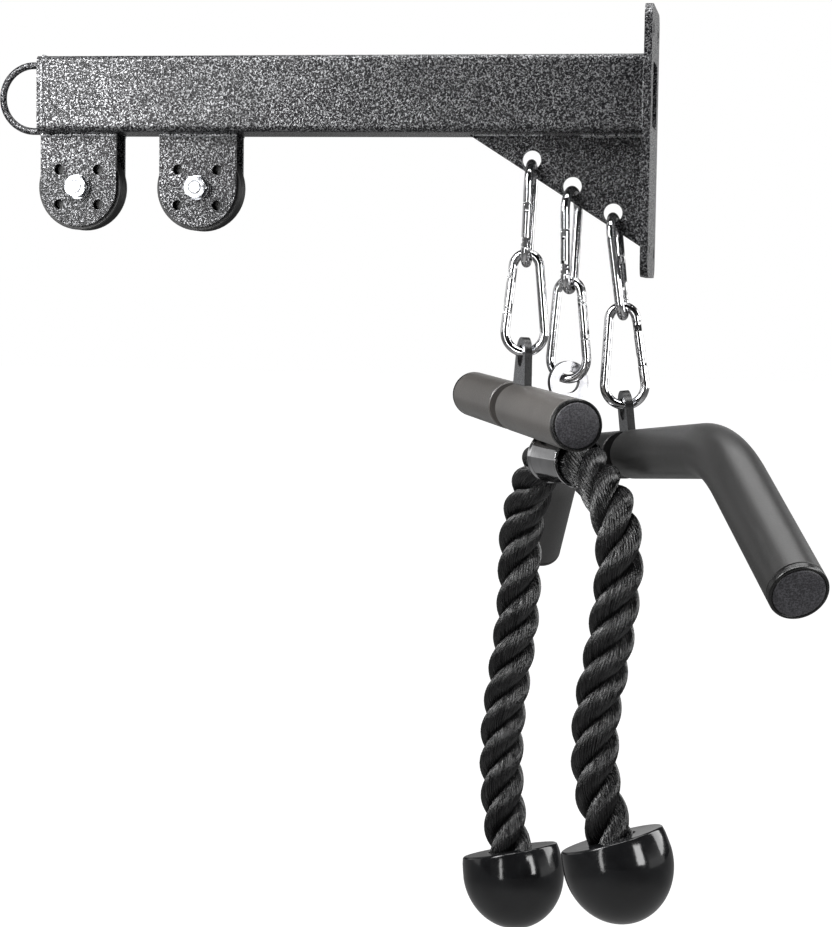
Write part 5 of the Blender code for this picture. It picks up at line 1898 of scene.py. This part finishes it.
    def make_ball(self, label: str, body: str, mouth: Place, tip: Place) -> Object:
        """One ball end.

        Args:
            label: Which end of the rope.
            body: The body that it rides on.
            mouth: Where the rope enters it, from the sleeve's centre.
            tip: Where the rope ends in it.

        Returns:
            The ball.
        """
        socket = self.diameter / 2 + self.socket_gap
        top = self.ball_top / 2
        radius = self.ball / 2
        depth = self.ball_height - self.ball_shoulder
        dome = [(radius * cos(radians(turn)), -self.ball_shoulder - depth * sin(radians(turn)))
                for turn in range(0, 90, 4)]
        corner = arc((top - self.ball_edge, -self.ball_edge), self.ball_edge, 90, 8, 6)
        flank = [(top + (radius - top) * share ** self.flank_power,
                  -self.ball_edge - (self.ball_shoulder - self.ball_edge) * share)
                 for share in self.flank_shares]
        ease = self.ball_edge / 2
        profile = [(0.0, -self.socket_depth), (socket, -self.socket_depth), (socket, -ease),
                   (socket + ease, 0.0), *corner, *flank, *dome, (0.0, -self.ball_height)]
        axis = (Vector(mouth) - Vector(tip)).normalized()
        place = (self.carrier @ Matrix.Translation(mouth)
                 @ Vector((0.0, 0.0, 1.0)).rotation_difference(axis).to_matrix().to_4x4())
        return finished(f"dressed_{label}_ball", turned(profile, self.facets), [RUBBER], body,
                        [f"rope_{label}_ball"], place)

    def make_eye(self) -> None:
        """Rounded ring and neck that the snap hook holds."""
        radius = self.eye_diameter / 2
        half = self.eye_neck / 2
        drop = self.eye_reach - self.sleeve_bore / 2 - self.sleeve_wall - self.seat
        opening = degrees(asin(half / radius))
        outline = [(half, -drop), *arc((0.0, 0.0), radius, opening - 90, 270 - opening, 56),
                   (-half, -drop)]
        mesh = plate(outline, self.eye_thickness, [circle(self.eye_hole / 2, 56)])
        mesh = softened(mesh, self.eye_round, 5)
        finished("dressed_rope_eye", mesh, [SHADED_EYE_CHROME], self.yoke, ["rope_eye"],
                 self.hung @ at(z=-self.eye_drop) @ UPRIGHT_ACROSS_BEAM)

    def make_sleeve(self) -> None:
        """Tube round the rope's middle with a rolled lip at each end."""
        bore = self.sleeve_bore / 2
        outer = bore + self.sleeve_wall
        lip = outer + self.lip
        half = self.sleeve_length / 2
        roll = self.lip_length / 2
        end = [(outer + self.lip * (0.5 + 0.5 * cos(radians(turn))) if turn else lip,
                half - roll + roll * sin(radians(turn))) for turn in (90, 60, 30, 0)]
        upper = [(bore, half - self.lip / 2), (bore + self.lip / 2, half), *end,
                 (lip - self.lip / 3, half - self.lip_length),
                 (outer, half - self.lip_length - self.lip)]
        profile = upper + [(radius, -height) for radius, height in reversed(upper)]
        mesh = turned(profile, self.facets, closed=True)
        finished("dressed_rope_sleeve", mesh, [CHROME], self.yoke, ["rope_sleeve"],
                 self.carrier @ ALONG_X)


# Studio

@dataclass(frozen=True)
class Lamp:
    """Soft rectangular lamp: where it stands, what it looks at, its face, its watts."""

    name: str
    place: Place
    target: Place
    size: Flat
    power: float

    def make(self) -> None:
        """Hang the lamp."""
        data = bpy.data.lights.new(self.name, "AREA")
        data.shape = "RECTANGLE"
        data.size, data.size_y = self.size
        data.energy = self.power
        lamp = bpy.data.objects.new(self.name, data)
        way = Vector(self.target) - Vector(self.place)
        turn = way.to_track_quat("-Z", "Y").to_matrix().to_4x4()
        lamp.matrix_world = Matrix.Translation(self.place) @ turn
        bpy.context.scene.collection.objects.link(lamp)


LAMPS = (
    Lamp("key", (-0.78, -0.80, 0.06), (-0.45, 0.0, -0.02), (0.32, 0.32), 3.8),
    Lamp("side", (-0.75, -0.60, 0.42), (-0.03, -0.1, -0.45), (0.40, 0.40), 11.0),
    Lamp("top", (0.05, -0.32, 1.0), (0.05, -0.17, -0.5), (1.30, 0.40), 15.0),
    Lamp("top_back", (0.10, 0.42, 1.0), (0.10, 0.0, -0.5), (1.10, 0.45), 7.0),
    Lamp("strip_right", (1.08, -0.92, -0.10), (0.0, 0.0, -0.45), (0.40, 0.55), 8.0),
    Lamp("strip_left", (-0.62, -1.30, -0.35), (-0.06, 0.0, -0.5), (0.14, 0.6), 2.2),
    Lamp("rim_left", (-0.95, 0.75, 0.10), (-0.05, -0.1, -0.4), (0.70, 0.90), 0.8),
    Lamp("rim_right", (0.95, 0.50, 0.10), (0.0, 0.0, -0.1), (0.60, 0.90), 9.0),
)


@dataclass
class Studio:
    """Camera, world and floor round the lamps."""

    camera_place: Place = (0.10995, -1.75885, -0.12580)
    azimuth: float = 9.472
    pitch: float = 4.094
    roll: float = 0.799
    focal_pixels: float = 2241.46
    image_height: float = 927.0
    sensor: float = 36.0
    floor_level: float = -1.15
    floor_size: float = 60.0
    floor_glow: float = 1.0
    floor_sheen: float = 0.12
    floor_near_sheen: float = 0.04
    sheen_run: Flat = (0.3, 1.4)
    world_strength: float = 0.22
    panels: tuple[Flat, ...] = (
        (0.0, 0.7), (0.025, 0.7), (0.035, 0.02), (0.15, 0.02), (0.165, 0.8), (0.29, 0.9),
        (0.305, 0.03), (0.37, 0.02), (0.38, 0.12), (0.43, 0.1), (0.44, 0.02), (0.545, 0.02),
        (0.56, 0.06), (0.62, 0.08), (0.635, 0.02), (0.69, 0.02), (0.705, 0.9), (0.82, 0.8),
        (0.835, 0.02), (0.965, 0.02), (0.975, 0.7), (1.0, 0.7))
    levels: tuple[Flat, ...] = ((0.0, 0.05), (0.36, 0.25), (0.48, 0.9), (0.60, 1.0), (0.68, 0.12),
                                (1.0, 0.04))

    def make(self) -> None:
        """Set the scene up."""
        scene = bpy.context.scene
        scene.view_settings.view_transform = "Standard"
        self.make_camera()
        self.make_world()
        self.make_floor()
        for lamp in LAMPS:
            lamp.make()

    def make_camera(self) -> None:
        """Camera at the photograph's angle."""
        azimuth, pitch, roll = radians(self.azimuth), radians(self.pitch), radians(self.roll)
        ahead = Vector((-sin(azimuth) * cos(pitch), cos(azimuth) * cos(pitch), -sin(pitch)))
        right = Vector((cos(azimuth), sin(azimuth), 0.0))
        up = right.cross(ahead)
        level_right = right * cos(roll) + up * sin(roll)
        level_up = up * cos(roll) - right * sin(roll)
        data = bpy.data.cameras.new("photo_camera")
        data.sensor_width = self.sensor
        data.lens = self.focal_pixels / self.image_height * self.sensor
        data.clip_start, data.clip_end = 0.05, 50.0
        camera = bpy.data.objects.new("photo_camera", data)
        turn = Matrix((level_right, level_up, -ahead)).transposed().to_4x4()
        camera.matrix_world = Matrix.Translation(self.camera_place) @ turn
        bpy.context.scene.collection.objects.link(camera)
        bpy.context.scene.camera = camera

    def make_world(self) -> None:
        """White for the camera, a plain level for light, and a studio for reflections."""
        world = bpy.data.worlds.new("studio")
        bpy.context.scene.world = world
        world.use_nodes = True
        world.node_tree.nodes.clear()
        graph = ShaderGraph(world.node_tree)
        output = graph.add("ShaderNodeOutputWorld")
        seen, glossy = graph.clear_rays()
        way = graph.add("ShaderNodeTexCoord").outputs["Generated"]
        split = graph.add("ShaderNodeSeparateXYZ", {0: way})
        turn = graph.maths("ARCTAN2", split.outputs["X"],
                           graph.maths("MULTIPLY", split.outputs["Y"], -1.0))
        round_about = self.ramp(graph, graph.ranged(turn, {"From Min": -pi, "From Max": pi}),
                                self.panels)
        up_down = self.ramp(graph, graph.ranged(split.outputs["Z"], {"From Min": -1.0}),
                            self.levels)
        panels = graph.add("ShaderNodeMix", {0: 1.0, 6: round_about, 7: up_down},
                           data_type="RGBA", blend_type="MULTIPLY")
        white = (1.0, 1.0, 1.0)
        plain, clear, mirrored = (
            graph.add("ShaderNodeBackground", {"Color": colour, "Strength": strength}).outputs[0]
            for colour, strength in ((white, self.world_strength), (white, 1.0),
                                     (panels.outputs[2], 1.0)))
        lit = graph.add("ShaderNodeMixShader", {0: glossy, 1: plain, 2: mirrored})
        whole = graph.add("ShaderNodeMixShader", {0: seen, 1: lit.outputs[0], 2: clear})
        graph.put(output, "Surface", whole.outputs[0])

    @staticmethod
    def ramp(graph: ShaderGraph, factor: NodeSocket, stops: Sequence[Flat]) -> NodeSocket:
        """Grey tones along a factor.

        Args:
            graph: The world's graph.
            factor: Where along the tones.
            stops: Place and tone of each stop.

        Returns:
            The tone.
        """
        node = graph.add("ShaderNodeValToRGB", {0: factor})
        elements = node.color_ramp.elements
        while len(elements) > 1:
            elements.remove(elements[-1])
        for number, (place, tone) in enumerate(stops):
            stop = elements[0] if number == 0 else elements.new(place)
            stop.position = place
            stop.color = (tone, tone, tone, 1.0)
        return node.outputs[0]

    def make_floor(self) -> None:
        """Plain pale floor far below, white to the camera but for a soft shadow."""
        half = self.floor_size / 2
        mesh = bpy.data.meshes.new("floor")
        mesh.from_pydata([(-half, -half, 0.0), (half, -half, 0.0), (half, half, 0.0),
                          (-half, half, 0.0)], [], [(0, 1, 2, 3)])
        mesh.transform(at(z=self.floor_level))
        material = bpy.data.materials.new("floor_white")
        material.use_nodes = True
        graph = ShaderGraph(material.node_tree)
        shader = material.node_tree.nodes["Principled BSDF"]
        shader.inputs["Base Color"].default_value = (0.3, 0.3, 0.3, 1.0)
        shader.inputs["Roughness"].default_value = 0.9
        shader.inputs["Emission Color"].default_value = (1.0, 1.0, 1.0, 1.0)
        seen, glossy = graph.clear_rays()
        place = graph.add("ShaderNodeSeparateXYZ", {0: graph.spot()}).outputs["Y"]
        near, far = self.sheen_run
        sheen = graph.ranged(place, {"From Min": near, "From Max": far,
                                     "To Min": self.floor_near_sheen,
                                     "To Max": self.floor_sheen})
        glow = graph.maths("MAXIMUM", graph.maths("MULTIPLY", seen, self.floor_glow),
                           graph.maths("MULTIPLY", glossy, sheen))
        graph.put(shader, "Emission Strength", glow)
        mesh.materials.append(material)
        floor = bpy.data.objects.new("floor", mesh)
        bpy.context.scene.collection.objects.link(floor)


def main() -> None:
    """Build the studio and every sub-assembly."""
    logging.basicConfig(level=logging.INFO, format="%(message)s")
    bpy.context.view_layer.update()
    Studio().make()
    PullRope().make()
    welds = WeldMaker()
    arm = WallArm()
    arm.make(welds)
    for number in (1, 2):
        PulleyBlock(arm, number).make(welds)
    SnapHooks().make()
    StraightBar().make()
    LongBar().make(welds)


if __name__ == "__main__":
    main()
